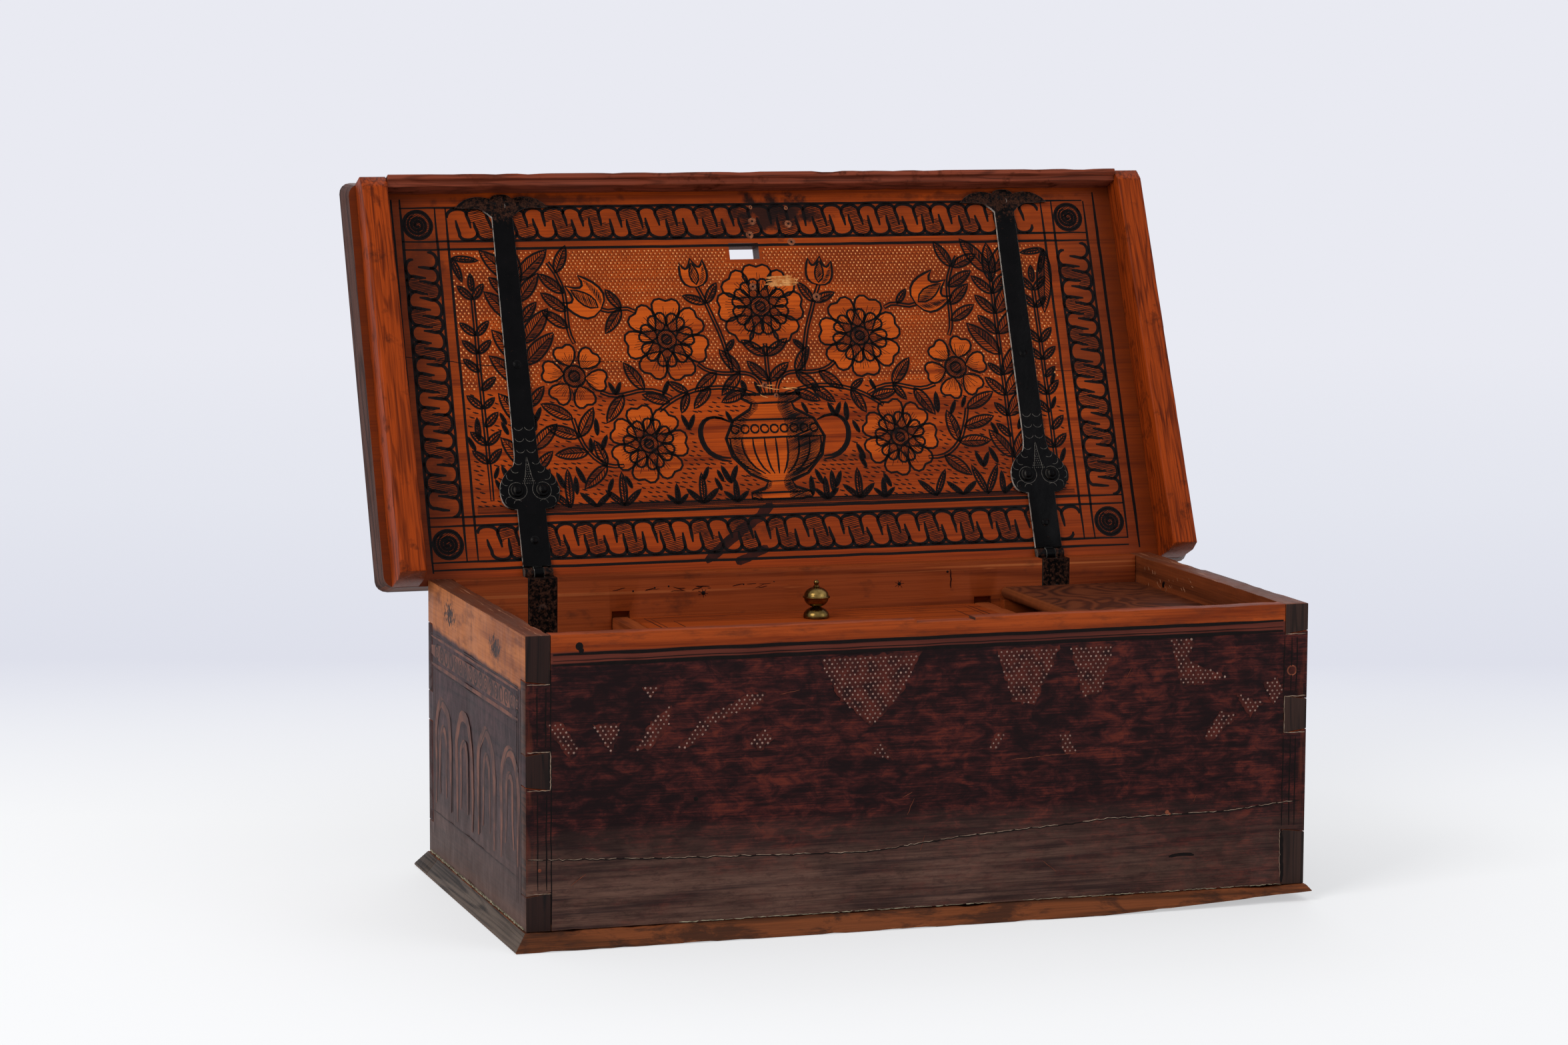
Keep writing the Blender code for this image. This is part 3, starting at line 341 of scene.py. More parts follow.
def end_finish(name, sign, band, pin_light, pin_dark):
    """End board: bare where the lid's batten covers it, dark field below, end grain on the pins."""
    f = Finish(name)
    field = f.stained_field("Z")
    height = f.share
    y, z = f.axis("Y"), f.axis("Z")
    field = f.mix(0.6, field, f.grain(tone(62, 41, 43), tone(36, 24, 28), "Y", 22.0))
    greyed = f.grain(tone(92, 64, 53), tone(62, 43, 37), "Y")
    field = f.mix(f.remap(z, 0.060, 0.018, 0.0, 0.75), field, greyed)
    bare = f.grain(tone(164, 98, 54), tone(118, 63, 33), "Y", 26.0, 30.0)
    stain = f.remap(f.noise((30, 40, 90), 5.0, 0.6), 0.52, 0.68)
    bare = f.glaze(bare, tone(86, 44, 26), stain, 0.7)
    streak = f.remap(f.noise((200, 420, 40), 3.0), 0.56, 0.70)
    bare = f.glaze(bare, tone(74, 42, 30), streak, 0.55)
    for spot, drop, size in ((0.064, 0.0137, 0.0075), (-0.051, 0.0167, 0.0070)):
        knot = f.patch((sign * HALF_WIDTH, spot, RIM - drop), (0.02, size * 1.9, size), 0.8, 300.0)
        bare = f.mix(knot, bare, tone(46, 30, 26))
    ragged = f.remap(f.noise((20, 90, 60), 3.0), 0.3, 0.7, -0.0007, 0.0007)
    line = f.maths("ADD", f.maths("MULTIPLY", y, -BAND_SLOPE), f.maths("ADD", z, ragged))
    outside = f.mix(f.step(line, RIM - band, BAND_EDGE), field, bare)
    inside = f.grain(tone(108, 51, 24), tone(66, 29, 13), "Y")
    on_rim = f.facing("Z", 1)
    scrape = f.maths("MULTIPLY", on_rim, f.remap(f.noise((700, 20, 700), 3.0), 0.57, 0.67))
    inside = f.glaze(inside, tone(178, 126, 96), scrape, 0.6)
    handled = f.remap(f.noise((60, 25, 60), 5.0, 0.65), 0.4, 0.6, 0.1, 0.75)
    inside = f.glaze(inside, tone(84, 49, 35), on_rim, handled)
    colour = f.mix(f.facing("X", sign), inside, outside)
    colour = f.mix(f.either_end("Y"), colour, f.grain(pin_light, pin_dark, "Z", 90.0, 40.0))
    rubbed = f.mix(f.step(z, RIM - RUBBED_RIM, RUBBED_EDGE), tone(150, 124, 104), tone(146, 90, 58))
    colour = f.glaze(colour, rubbed, f.worn_edge(0.0009), 0.55)
    return f.close(colour, f.remap(height, 0.3, 0.7, 0.62, 0.48), height, 0.0001, gloss=0.11)


def lid_finish():
    """Lid board: orange polish inside with scorch marks, painted shade along the rail's foot and beside the
    battens, dark stain outside, grey end grain at the edges.
    """
    f = Finish("lid_polish", on_lid=True)
    y = f.axis("Y")
    inside = f.grain(tone(174, 70, 12), tone(106, 35, 6), "X", 13.0, 66.0, 0.8)
    height = f.share
    cloudy = f.remap(f.noise((30, 45, 30), 4.0), 0.3, 0.65, 0.25, 0.75)
    inside = f.glaze(inside, tone(112, 42, 9), f.remap(y, -0.112, -0.130), cloudy)
    inside = f.mix(f.remap(y, -0.12, -0.01, 0.0, 0.7), inside, f.grain(tone(144, 54, 12), tone(94, 31, 7)))
    shade = f.remap(f.noise((9, 14, 9), 5.0, 0.6), 0.42, 0.7)
    inside = f.glaze(inside, tone(104, 39, 11), shade, 0.45)
    # Darker towards the left and right edges of the inside: painted shade beside the battens.
    side = f.remap(f.maths("ABSOLUTE", f.axis("X")), 0.19, 0.245)
    inside = f.glaze(inside, tone(84, 34, 14), side, 0.75)
    # Dark patches: scorch marks and stains, and two long thin strips at 246 mm along the rail's foot, which
    # are painted shade in the crease.
    burns_and_crease_shade = ((8, 236, 30, 14, 0.95), (26, 238, 20, 9, 0.85), (-28, 24, 15, 6, 0.35), (33, 190, 7, 4, 0.75),
             (-150, 246, 60, 4, 0.6), (60, 70, 50, 3, 0.55), (150, 246, 70, 3, 0.5), (-226, 60, 10, 18, 0.4),
             (-222, 205, 14, 22, 0.4))
    for u, s, wide, tall, strength in burns_and_crease_shade:
        dark_patch = f.patch((u * MM, -s * MM, LID_INSIDE), (wide * MM, tall * MM, 0.01), 0.6, 110.0)
        inside = f.glaze(inside, tone(34, 15, 10), dark_patch, strength)
    outside = f.plain_stain()
    end_edge = f.grain(tone(78, 52, 45), tone(38, 26, 24), "Y", 70.0, 50.0)
    long_edge = f.grain(tone(96, 52, 36), tone(54, 30, 24))
    edges = f.mix(f.either_end("X"), long_edge, end_edge)
    colour = f.mix(f.facing("Z", -1), f.mix(f.facing("Z", 1), edges, outside), inside)
    return f.close(colour, f.remap(height, 0.0, 0.8, 0.4, 0.52), height, 0.00008)


def light_finish():
    """Flowers and vase on the lid's inside: the polish that has kept its lighter orange."""
    f = Finish("flower_polish", on_lid=True)
    colour = f.grain(tone(186, 80, 16), tone(126, 46, 8), "X", 13.0, 66.0, 0.8)
    return f.close(colour, 0.46, f.share, 0.00008)


def batten_finish(name, along, light, dark, grime):
    """Battens and rail of the lid: polished softwood with fine lines and dark marks."""
    f = Finish(name, on_lid=True)
    colour = f.grain(light, dark, along, 110.0, 46.0, 0.8)
    height = f.share
    lines = f.remap(f.noise(streaks(620.0, 9.0, along), 2.0), 0.55, 0.66)
    colour = f.glaze(colour, dark, lines, 0.55)
    marks = f.remap(f.noise((60, 60, 60), 6.0, 0.65), 0.56, 0.68)
    colour = f.glaze(colour, tone(34, 17, 12), marks, grime)
    colour = f.glaze(colour, tone(74, 37, 22), f.either_end(along), 0.75)
    tint = f.remap(f.noise((14, 14, 14), 3.0), 0.35, 0.65)
    colour = f.glaze(colour, tone(120, 46, 14), tint, 0.3)
    colour = f.glaze(colour, tone(164, 86, 44), f.worn_edge(0.0012), 0.4)
    return f.close(colour, f.remap(marks, 0.0, 1.0, 0.42, 0.58), height, 0.0001, gloss=0.05)


def bare_finish(name, light, dark, along, saw, stain, stained_outside=False):
    """Bare inside wood, with light saw lines along it and dark stains; the outside may be stained."""
    f = Finish(name)
    colour = f.grain(light, dark, along)
    height = f.share
    lines = f.remap(f.noise(streaks(420.0, 3.0, along), 1.0), 0.60, 0.68)
    high = f.remap(f.axis("Z"), RIM - 0.020, RIM - 0.004)
    colour = f.glaze(colour, tone(172, 96, 52), f.maths("MULTIPLY", lines, high), saw)
    spots = f.remap(f.noise((34, 34, 60), 6.0, 0.62), 0.57, 0.70)
    colour = f.glaze(colour, tone(48, 24, 15), spots, stain)
    if stained_outside:
        outside = f.maths("ADD", f.facing("Y", 1), f.either_end("X"))
        colour = f.mix(outside, colour, f.plain_stain())
    colour = f.glaze(colour, tone(168, 98, 56), f.worn_edge(0.0012), 0.4)
    return f.close(colour, f.remap(height, 0.0, 0.8, 0.5, 0.66), height, 0.00012)


def base_finish():
    """Base boards: brown long grain in front, weathered grey at the ends, dark dirt in patches."""
    f = Finish("base_weathered")
    brown = f.grain(tone(114, 62, 35), tone(66, 37, 22), "X", 20.0)
    height = f.share
    dirt = f.remap(f.noise((26, 60, 80), 6.0, 0.7, 0.5), 0.46, 0.58)
    brown = f.glaze(brown, tone(44, 29, 23), dirt, 0.75)
    grey = f.grain(tone(92, 80, 72), tone(46, 40, 37), "Y", 60.0, 60.0, 0.9)
    ends = f.remap(f.maths("ABSOLUTE", f.axis("X", f.normal)), 0.3, 0.6)
    colour = f.mix(ends, brown, grey)
    colour = f.glaze(colour, tone(150, 92, 58), f.worn_edge(0.0014), 0.5)
    return f.close(colour, 0.66, height, 0.00025)


def burl_finish():
    """Till cover: dark figured wood whose rings close round swirling eyes."""
    f = Finish("burl_figure")
    swirl = f.noise((13, 10, 13), 2.0, 0.45, 1.6)
    rings = f.maths("SINE", f.maths("MULTIPLY", swirl, 72.0))
    fine = f.remap(f.noise((40, 500, 500), 2.0), 0.3, 0.7, -0.12, 0.12)
    share = f.maths("ADD", f.remap(rings, -1.0, 1.0), fine)
    colour = f.ramp(share, (0.05, tone(98, 51, 30)), (0.6, tone(82, 41, 25)), (0.95, tone(60, 31, 21)))
    nosing = f.remap(f.axis("X"), 0.1365, 0.1345)
    colour = f.glaze(colour, f.grain(tone(118, 60, 30), tone(76, 36, 19), "Y"), nosing, 0.8)
    return f.close(colour, 0.42, share, 0.00005)


def iron_finish(name, on_lid, brown, rubbed=1.0):
    """Blackened wrought iron: soft hammer marks, rust in specks, rubbed edges of pale metal and a painted
    highlight on faces turned to the left.
    """
    f = Finish(name, on_lid)
    black = f.ramp(f.noise((90,) * 3, 4.0), (0.35, tone(3, 3, 4)), (0.7, tone(9, 8, 9)))
    far_end = f.remap(f.axis("Y"), -0.222, -0.236, 0.0, 0.22) if on_lid else 0.0
    speck = f.maths("ADD", f.noise((420,) * 3, 5.0, 0.7), far_end)
    rust = f.remap(speck, 0.66 - brown, 0.76 - brown)
    rusty = f.ramp(f.noise((900,) * 3, 2.0), (0.35, tone(34, 18, 13)), (0.7, tone(66, 40, 29)))
    colour = f.mix(rust, black, rusty)
    edge = f.maths("MULTIPLY", f.worn_edge(0.0006, 0.05, 0.3), 0.25)
    # Faces turned to the left get a painted highlight, as if lit by the lamp at the left; rubbed scales it
    # together with the worn arrises.
    left = f.remap(f.axis("X", f.normal), -0.45, -0.65)
    side = f.maths("MULTIPLY", left, f.remap(f.noise((160,) * 3, 4.0), 0.34, 0.48))
    wear_and_highlight = f.maths("MULTIPLY", f.maths("MAXIMUM", edge, side), rubbed)
    colour = f.mix(wear_and_highlight, colour, tone(176, 170, 162))
    rough = f.remap(f.maths("MAXIMUM", rust, wear_and_highlight), 0.0, 1.0, 0.30, 0.62)
    return f.close(colour, rough, f.noise((260,) * 3, 4.0), 0.0003, f.remap(rust, 0.0, 1.0, 0.1, 0.0), 0.05)


def brass_finish():
    """Dulled brass with turning lines and darker hollows."""
    f = Finish("brass_dulled")
    colour = f.ramp(f.noise((150,) * 3, 5.0), (0.3, tone(60, 47, 24)), (0.55, tone(118, 94, 50)),
                    (0.8, tone(168, 138, 80)))
    lines = f.noise((30, 30, 2600), 1.0)
    return f.close(colour, f.remap(f.noise((200,) * 3, 3.0), 0.3, 0.7, 0.18, 0.36), lines, 0.00003, 1.0)


def speckled(name, dark, light, roughness, scale=300.0):
    """A small-scale two-tone finish for ink, dots, chips and plugs."""
    f = Finish(name)
    share = f.noise((scale,) * 3, 4.0)
    return f.close(f.ramp(share, (0.35, dark), (0.68, light)), roughness, share, 0.00003)


# Finishes that the drawings share
INK = speckled("ink", tone(8, 4, 4), tone(17, 8, 7), 0.5)
FAINT_INK = speckled("faint_ink", tone(22, 12, 13), tone(36, 19, 18), 0.55, 160.0)
STAIN = speckled("dark_run", tone(28, 9, 7), tone(58, 20, 11), 0.45, 120.0)
PUNCHED_LIGHT = speckled("punch_light", tone(176, 92, 40), tone(228, 160, 100), 0.5)
# Dark brown for the painted shadows beside the lid's punch marks.
PUNCH_SHADOW = speckled("punch_shadow", tone(60, 20, 7), tone(92, 33, 10), 0.6)
PUNCHED_DARK = speckled("punch_grey", tone(92, 68, 62), tone(150, 122, 111), 0.5)
PEG = speckled("peg", tone(46, 25, 21), tone(82, 48, 38), 0.55, 420.0)
PLUG = speckled("plug", tone(84, 40, 24), tone(150, 92, 62), 0.5, 420.0)
RAW = speckled("raw_wood", tone(170, 98, 44), tone(216, 158, 98), 0.6)
RAW_RED = speckled("raw_scratch", tone(84, 42, 30), tone(124, 68, 48), 0.6)
GOUGE = speckled("gouge", tone(112, 66, 42), tone(168, 116, 86), 0.7)
CHIP = speckled("dusty_chip", tone(100, 80, 68), tone(160, 140, 122), 0.75)
RED_GROUND = speckled("red_ground", tone(34, 14, 14), tone(78, 32, 25), 0.5, 130.0)
FADED = speckled("faded_line", tone(36, 25, 26), tone(60, 43, 41), 0.55, 160.0)
PALE_STAIN = speckled("pale_stain", tone(64, 43, 41), tone(112, 70, 56), 0.55, 90.0)
DUST = speckled("dust", tone(96, 88, 74), tone(158, 148, 126), 0.9)
# Pale grey for the chased lines and dots on the straps: a painted highlight on the chasing.
CHASING_HIGHLIGHT = speckled("chased_iron_highlight", tone(50, 48, 46), tone(112, 107, 100), 0.45, 700.0)


# Making pieces
def add_piece(name, bm, finish, body, smooth=None):
    """Turn a bmesh into a piece that rides on a CAD body."""
    mesh = bpy.data.meshes.new(name)
    bm.to_mesh(mesh)
    bm.free()
    mesh.materials.append(finish)
    if smooth:
        mesh.shade_smooth()
        mesh.set_sharp_from_angle(angle=math.radians(smooth))
    piece = bpy.data.objects.new(name, mesh)
    bpy.context.scene.collection.objects.link(piece)
    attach(piece, body)
    return piece


def soften(node, finish, width, shortest=0.008, least_turn=25.0, wear=0.0, cut=None, below=None,
           rounds=2):
    """A copy of a CAD node with rounded arrises, the long ones worn unevenly; it stands for the node."""
    source = frame["nodes"][node]
    bm = bmesh.new()
    bm.from_mesh(source.data)
    worn = bm.faces.layers.int.new("worn")
    on_lid = source["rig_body"] == "lid"
    if on_lid:
        bmesh.ops.transform(bm, matrix=LID_PLACE.inverted(), verts=bm.verts)
    bmesh.ops.remove_doubles(bm, verts=bm.verts, dist=SAME_SPOT)
    bmesh.ops.dissolve_limit(bm, angle_limit=math.radians(FLAT_TURN), verts=bm.verts, edges=bm.edges)
    arrises = [edge for edge in bm.edges if edge.is_manifold and edge.calc_length() > shortest
               and edge.is_convex and edge.calc_face_angle() > math.radians(least_turn)]
    if below is not None:
        arrises = [edge for edge in arrises if all(point.co.z < below for point in edge.verts)]
    made = bmesh.ops.bevel(bm, geom=arrises, offset=width, affect="EDGES", segments=rounds, profile=0.5,
                           material=-1, clamp_overlap=True)
    if cut is not None:
        for side in made["faces"]:
            side[worn] = max(edge.calc_length() for edge in side.edges) > LONG_ARRIS
        low = min(point.co[cut] for point in bm.verts)
        high = max(point.co[cut] for point in bm.verts)
        across = Vector((0.0, 0.0, 0.0))
        across[cut] = 1.0
        for step in range(1, int((high - low) / CUT_GAP)):
            bmesh.ops.bisect_plane(bm, geom=bm.verts[:] + bm.edges[:] + bm.faces[:],
                                   plane_co=across * (low + step * CUT_GAP), plane_no=across)
        bm.normal_update()
        for point in bm.verts:
            if all(side[worn] or side.calc_area() > SMALL_FACE for side in point.link_faces) and any(
                    side[worn] for side in point.link_faces):
                bite = noise.noise(point.co * BROAD_BITE) + 0.5 * noise.noise(point.co * FINE_BITE)
                point.co -= point.normal * wear * max(0.0, bite)
    if on_lid:
        bmesh.ops.transform(bm, matrix=LID_PLACE, verts=bm.verts)
    piece = add_piece(node + "_worn", bm, finish, source["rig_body"], SMOOTH_BOARD)
    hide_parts(node)


def pen_work(name, strokes, ground, ink, lift=INK_LIFT):
    """Ink strokes as flat closed ribbons: a wire down one side is extruded across, then raised."""
    bm = bmesh.new()
    across = bm.verts.layers.float_vector.new("across")
    for points, width in strokes:
        last = None
        count = len(points) - 1
        for index, spot in enumerate(points):
            run = Vector(points[min(index + 1, count)]) - Vector(points[max(index - 1, 0)])
            if run.length < SAME_SPOT:
                continue
            taper = min(1.0, 0.5 + 5.0 * min(index, count - index) / count)
            side = Vector((-run.y, run.x, 0.0)).normalized() * width * taper
            point = bm.verts.new((spot[0] - side.x / 2, spot[1] - side.y / 2, -INK_SINK))
            point[across] = side
            if last:
                bm.edges.new((last, point))
            last = point
    grown = bmesh.ops.extrude_edge_only(bm, edges=bm.edges[:])
    for point in grown["geom"]:
        if isinstance(point, bmesh.types.BMVert):
            point.co += point[across]
    raise_sheet(name, bm, ground, ink, lift)


def raise_sheet(name, bm, ground, finish, lift):
    """Give flat faces drawn on a face their small thickness and put them in place."""
    raised = bmesh.ops.extrude_face_region(bm, geom=bm.faces[:], use_keep_orig=True)
    tops = [part for part in raised["geom"] if isinstance(part, bmesh.types.BMVert)]
    bmesh.ops.translate(bm, verts=tops, vec=(0.0, 0.0, INK_SINK + lift))
    bmesh.ops.recalc_face_normals(bm, faces=bm.faces)
    bmesh.ops.transform(bm, matrix=ground.place, verts=bm.verts)
    add_piece(name, bm, finish, ground.body)


def fill_work(name, outlines, ground, finish, lift):
    """Flat thin patches, one for each closed outline."""
    bm = bmesh.new()
    for outline in outlines:
        bm.faces.new([bm.verts.new((u, v, -INK_SINK)) for u, v in outline])
    raise_sheet(name, bm, ground, finish, lift)


def dot_work(name, spots, height, ground, finish, sides=6):
    """Small low domes on a face, each given by its place and radius, for punch marks, nails and plugs."""
    bm = bmesh.new()
    for index, (u, v, radius) in enumerate(spots):
        seat = Matrix.Translation((u, v, height / 2 - INK_SINK)) @ Matrix.Rotation(index * DOME_TURN, 4, "Z")
        bmesh.ops.create_cone(bm, cap_ends=True, segments=sides, radius1=radius, radius2=radius * DOME_TOP,
                              depth=height + INK_SINK, matrix=seat)
    bmesh.ops.transform(bm, matrix=ground.place, verts=bm.verts)
    add_piece(name, bm, finish, ground.body, SMOOTH_DOT)


# Drawing
rng = random.Random(11)


def shake(points, reach=0.3, scale=0.09):
    """Points moved a little, as a hand moves a pen."""
    return [(u + reach * noise.noise(Vector((u * scale, v * scale, 1.3))),
             v + reach * noise.noise(Vector((v * scale, u * scale, 7.9)))) for u, v in points]


def bend(start, first, second, end, count):
    """Points along a curve with two handles."""
    corners = [Vector((*corner, 0.0)) for corner in (start, first, second, end)]
    return [(point.x, point.y) for point in interpolate_bezier(*corners, count)]


def straight(start, end, gap=9.0):
    """Evenly spaced points from one place to another."""
    count = max(2, int(math.dist(start, end) / gap) + 1)
    return [(start[0] + (end[0] - start[0]) * k / (count - 1),
             start[1] + (end[1] - start[1]) * k / (count - 1)) for k in range(count)]


def wavering(start, end, gap, reach, scale=0.09):
    """A straight line drawn by hand."""
    return shake(straight(start, end, gap), reach, scale)


def frame_lines(left, right, low, high, gap, reach, width):
    """The four sides of a rectangle, drawn by hand."""
    corners = [(left, low), (right, low), (right, high), (left, high), (left, low)]
    return [(wavering(first, second, gap, reach), width) for first, second in zip(corners, corners[1:])]


def ring(centre, radius, start=0.0, turn=math.tau, count=18, squash=1.0, inward=0.0):
    """An arc, or a spiral where inward shrinks the radius by the end of the turn."""
    points = []
    for k in range(count + 1):
        share = k / count
        angle = start + turn * share
        reach = radius * (1.0 - inward * share)
        points.append((centre[0] + reach * math.cos(angle), centre[1] + reach * squash * math.sin(angle)))
    return points


def moved(points, origin, turn):
    """Points drawn about the origin, turned and put in their place on a face."""
    c, s = math.cos(turn), math.sin(turn)
    return [(origin[0] + (c * u - s * v), origin[1] + (s * u + c * v)) for u, v in points]


def lies_in(spot, outline):
    """Whether a point lies in a closed outline."""
    u, v = spot
    within = False
    for (a, b), (c, d) in zip(outline, outline[1:] + outline[:1]):
        if (b > v) != (d > v) and u < a + (c - a) * (v - b) / (d - b):
            within = not within
    return within


def hatch(outline, angle, gap=HATCH_GAP):
    """Fine parallel strokes inside a closed outline."""
    turned = moved(outline, (0.0, 0.0), -angle)
    strokes = []
    level = min(v for _, v in turned) + gap * 0.6
    top = max(v for _, v in turned)
    while level < top:
        cuts = sorted(a + (c - a) * (level - b) / (d - b)
                      for (a, b), (c, d) in zip(turned, turned[1:] + turned[:1])
                      if (b > level) != (d > level))
        for start, end in zip(cuts[::2], cuts[1::2]):
            if end - start > 1.0:
                middle = ((start + end) / 2, level + rng.uniform(-0.12, 0.12))
                strokes.append((moved([(start, level), middle, (end, level)], (0.0, 0.0), angle), FINE))
        level += gap * rng.uniform(0.75, 1.25)
    return strokes


class Drawing:
    """Bold outlines, fine hatching, light fillings and the outlines that the ground keeps clear of."""

    def __init__(self):
        self.bold, self.fine, self.taken, self.light = [], [], [], []

    def line(self, points, width=BOLD):
        self.bold.append((shake(points), width))

    def shape(self, outline, angle=None, gap=HATCH_GAP, width=BOLD):
        self.line(outline + outline[:1], width)
        self.taken.append((outline, min(u for u, _ in outline), max(u for u, _ in outline),
                           min(v for _, v in outline), max(v for _, v in outline)))
        if angle is not None:
            self.fine += hatch(outline, angle, gap)

    def free(self, u, v, margin=1.4):
        """Whether a spot and its surroundings lie outside every shape."""
        for outline, left, right, low, high in self.taken:
            if left - margin < u < right + margin and low - margin < v < high + margin:
                for du, dv in ((0, 0), (margin, 0), (-margin, 0), (0, margin), (0, -margin)):
                    if lies_in((u + du, v + dv), outline):
                        return False
        return True

    def leaf(self, base, turn, length, width):
        """A pointed leaf with a midrib, hatched closely on one half and openly on the other."""
        half = bend((0, 0), (width * 0.95, length * 0.22), (width * 0.8, length * 0.72), (0, length), 8)
        other = [(-u, v) for u, v in half]
        place = {"origin": base, "turn": turn}
        self.shape(moved(half + other[-2:0:-1], **place), width=BOLD * 0.85)
        self.line(moved([(0, 0), (0, length * 0.5), (0, length * 0.86)], **place), BOLD * 0.7)
        self.fine += hatch(moved(half, **place), turn + 0.75, HATCH_GAP * 0.75)
        self.fine += hatch(moved(other, **place), turn - 0.75, HATCH_GAP * 1.4)

    def bloom(self, centre, radius, petals, turn=0.0, rows=1):
        """A round flower: rows of petals with strokes from their roots, and a hatched eye."""
        step = math.tau / petals
        for row in range(rows):
            reach = radius * (1.0 - 0.34 * row)
            half = bend((reach * 0.34, 0), (reach * 0.72, reach * 0.6),
                        (reach * 1.22, reach * 0.34), (reach, 0), 7)
            petal = half + [(u, -v) for u, v in half[-2:0:-1]]
            for k in range(petals):
                angle = turn + (k + 0.5 * row) * step
                self.shape(moved(petal, centre, angle), width=BOLD * 0.9)
                if row == 0:
                    self.light.append(moved(petal, centre, angle))
                for stroke in range(-6, 7):
                    lean = stroke * 0.06
                    tip = rng.uniform(0.62, 0.9) - abs(lean) * 0.3
                    root = [(reach * 0.4, lean * reach * 0.5), (reach * tip, lean * reach * 1.15)]
                    self.fine.append((moved(root, centre, angle), FINE))
        eye = radius * (0.36 if rows == 1 else 0.25)
        self.shape(ring(centre, eye, count=14)[:-1], 0.6, HATCH_GAP * 0.7)
        self.line(ring(centre, eye * 0.5, count=10), BOLD * 0.8)

    def tulip(self, base, turn, size):
        """A three-lobed flower on its stem's end."""
        cup = bend((0, 0), (size * 0.75, 0), (size * 0.62, size * 0.7), (size * 0.52, size * 1.15), 7)
        cup += bend(cup[-1], (size * 0.36, size * 0.75), (size * 0.2, size * 0.75), (0, size * 1.3), 6)[1:]
        cup += [(-u, v) for u, v in cup[-2:0:-1]]
        self.shape(moved(cup, base, turn))
        self.light.append(moved(cup, base, turn))
        side = bend((size * 0.1, size * 0.05), (size * 0.6, size * 0.2), (size * 0.52, size * 0.7),
                    (size * 0.5, size * 1.0), 6) + [(size * 0.3, size * 0.5)]
        self.fine += hatch(moved(side, base, turn), turn + 0.4, HATCH_GAP * 0.8)
        heart = bend((0, size * 0.1), (size * 0.34, size * 0.4),
                     (size * 0.16, size * 0.85), (0, size * 1.1), 6)
        heart += [(-u, v) for u, v in heart[-2:0:-1]]
        self.shape(moved(heart, base, turn), turn + 0.9, HATCH_GAP * 0.8, BOLD * 0.7)

    def stem(self, points):
        """A stalk as two lines side by side."""
        sides = ([], [])
        for index, spot in enumerate(points):
            run = Vector(points[min(index + 1, len(points) - 1)]) - Vector(points[max(index - 1, 0)])
            across = Vector((-run.y, run.x)).normalized() * STALK / 2
            for side, sign in zip(sides, (1, -1)):
                side.append((spot[0] + sign * across.x, spot[1] + sign * across.y))
        self.shape(sides[0] + sides[1][::-1], width=BOLD * 0.75)

    def leaf_fits(self, base, turn, length, width):
        """Whether a leaf would lie on free ground from a little way above its root."""
        for share, across in ((0.4, -0.6), (0.4, 0.6), (0.7, -0.6), (0.7, 0.0), (0.7, 0.6), (1.05, 0.0)):
            (u, v), = moved([(across * width, share * length)], base, turn)
            if not self.free(u, v, 1.0):
                return False
        return True

    def leafy_stem(self, points, gap, length, spread=0.85):
        """A stalk with a leaf on each side wherever one finds room."""
        self.stem(points)
        walked = gap * 0.4
        for start, end in zip(points, points[1:]):
            walked += math.dist(start, end)
            if walked < gap:
                continue
            walked = 0.0
            along = math.atan2(end[1] - start[1], end[0] - start[0]) - math.pi / 2
            for side in (-1, 1):
                for size in (length, length * 0.8, length * 0.6, length * 0.42):
                    turn = along + side * spread * rng.uniform(0.85, 1.15)
                    if self.leaf_fits(end, turn, size, size * 0.26):
                        self.leaf(end, turn, size, size * 0.26)
                        break

    def tuft(self, base, height, blades=5):
        """A ground plant: blades fanned from one root."""
        for k in range(blades):
            lean = (k - (blades - 1) / 2) * 0.42
            size = height * (1.0 - abs(lean) * 0.35)
            if self.leaf_fits(base, -lean, size, size * 0.15):
                self.leaf(base, -lean, size, size * 0.15)

    def spray(self, foot, height, gap, length):
        """An upright stalk with pairs of leaves and one at its top."""
        top = foot[1] + height
        stalk = [(foot[0], foot[1] + gap * k) for k in range(int(height / gap) + 1)]
        self.leafy_stem(stalk, gap * 0.9, length, spread=0.75)
        self.leaf((foot[0], top - length * 0.2), 0.0, length * 0.9, length * 0.22)


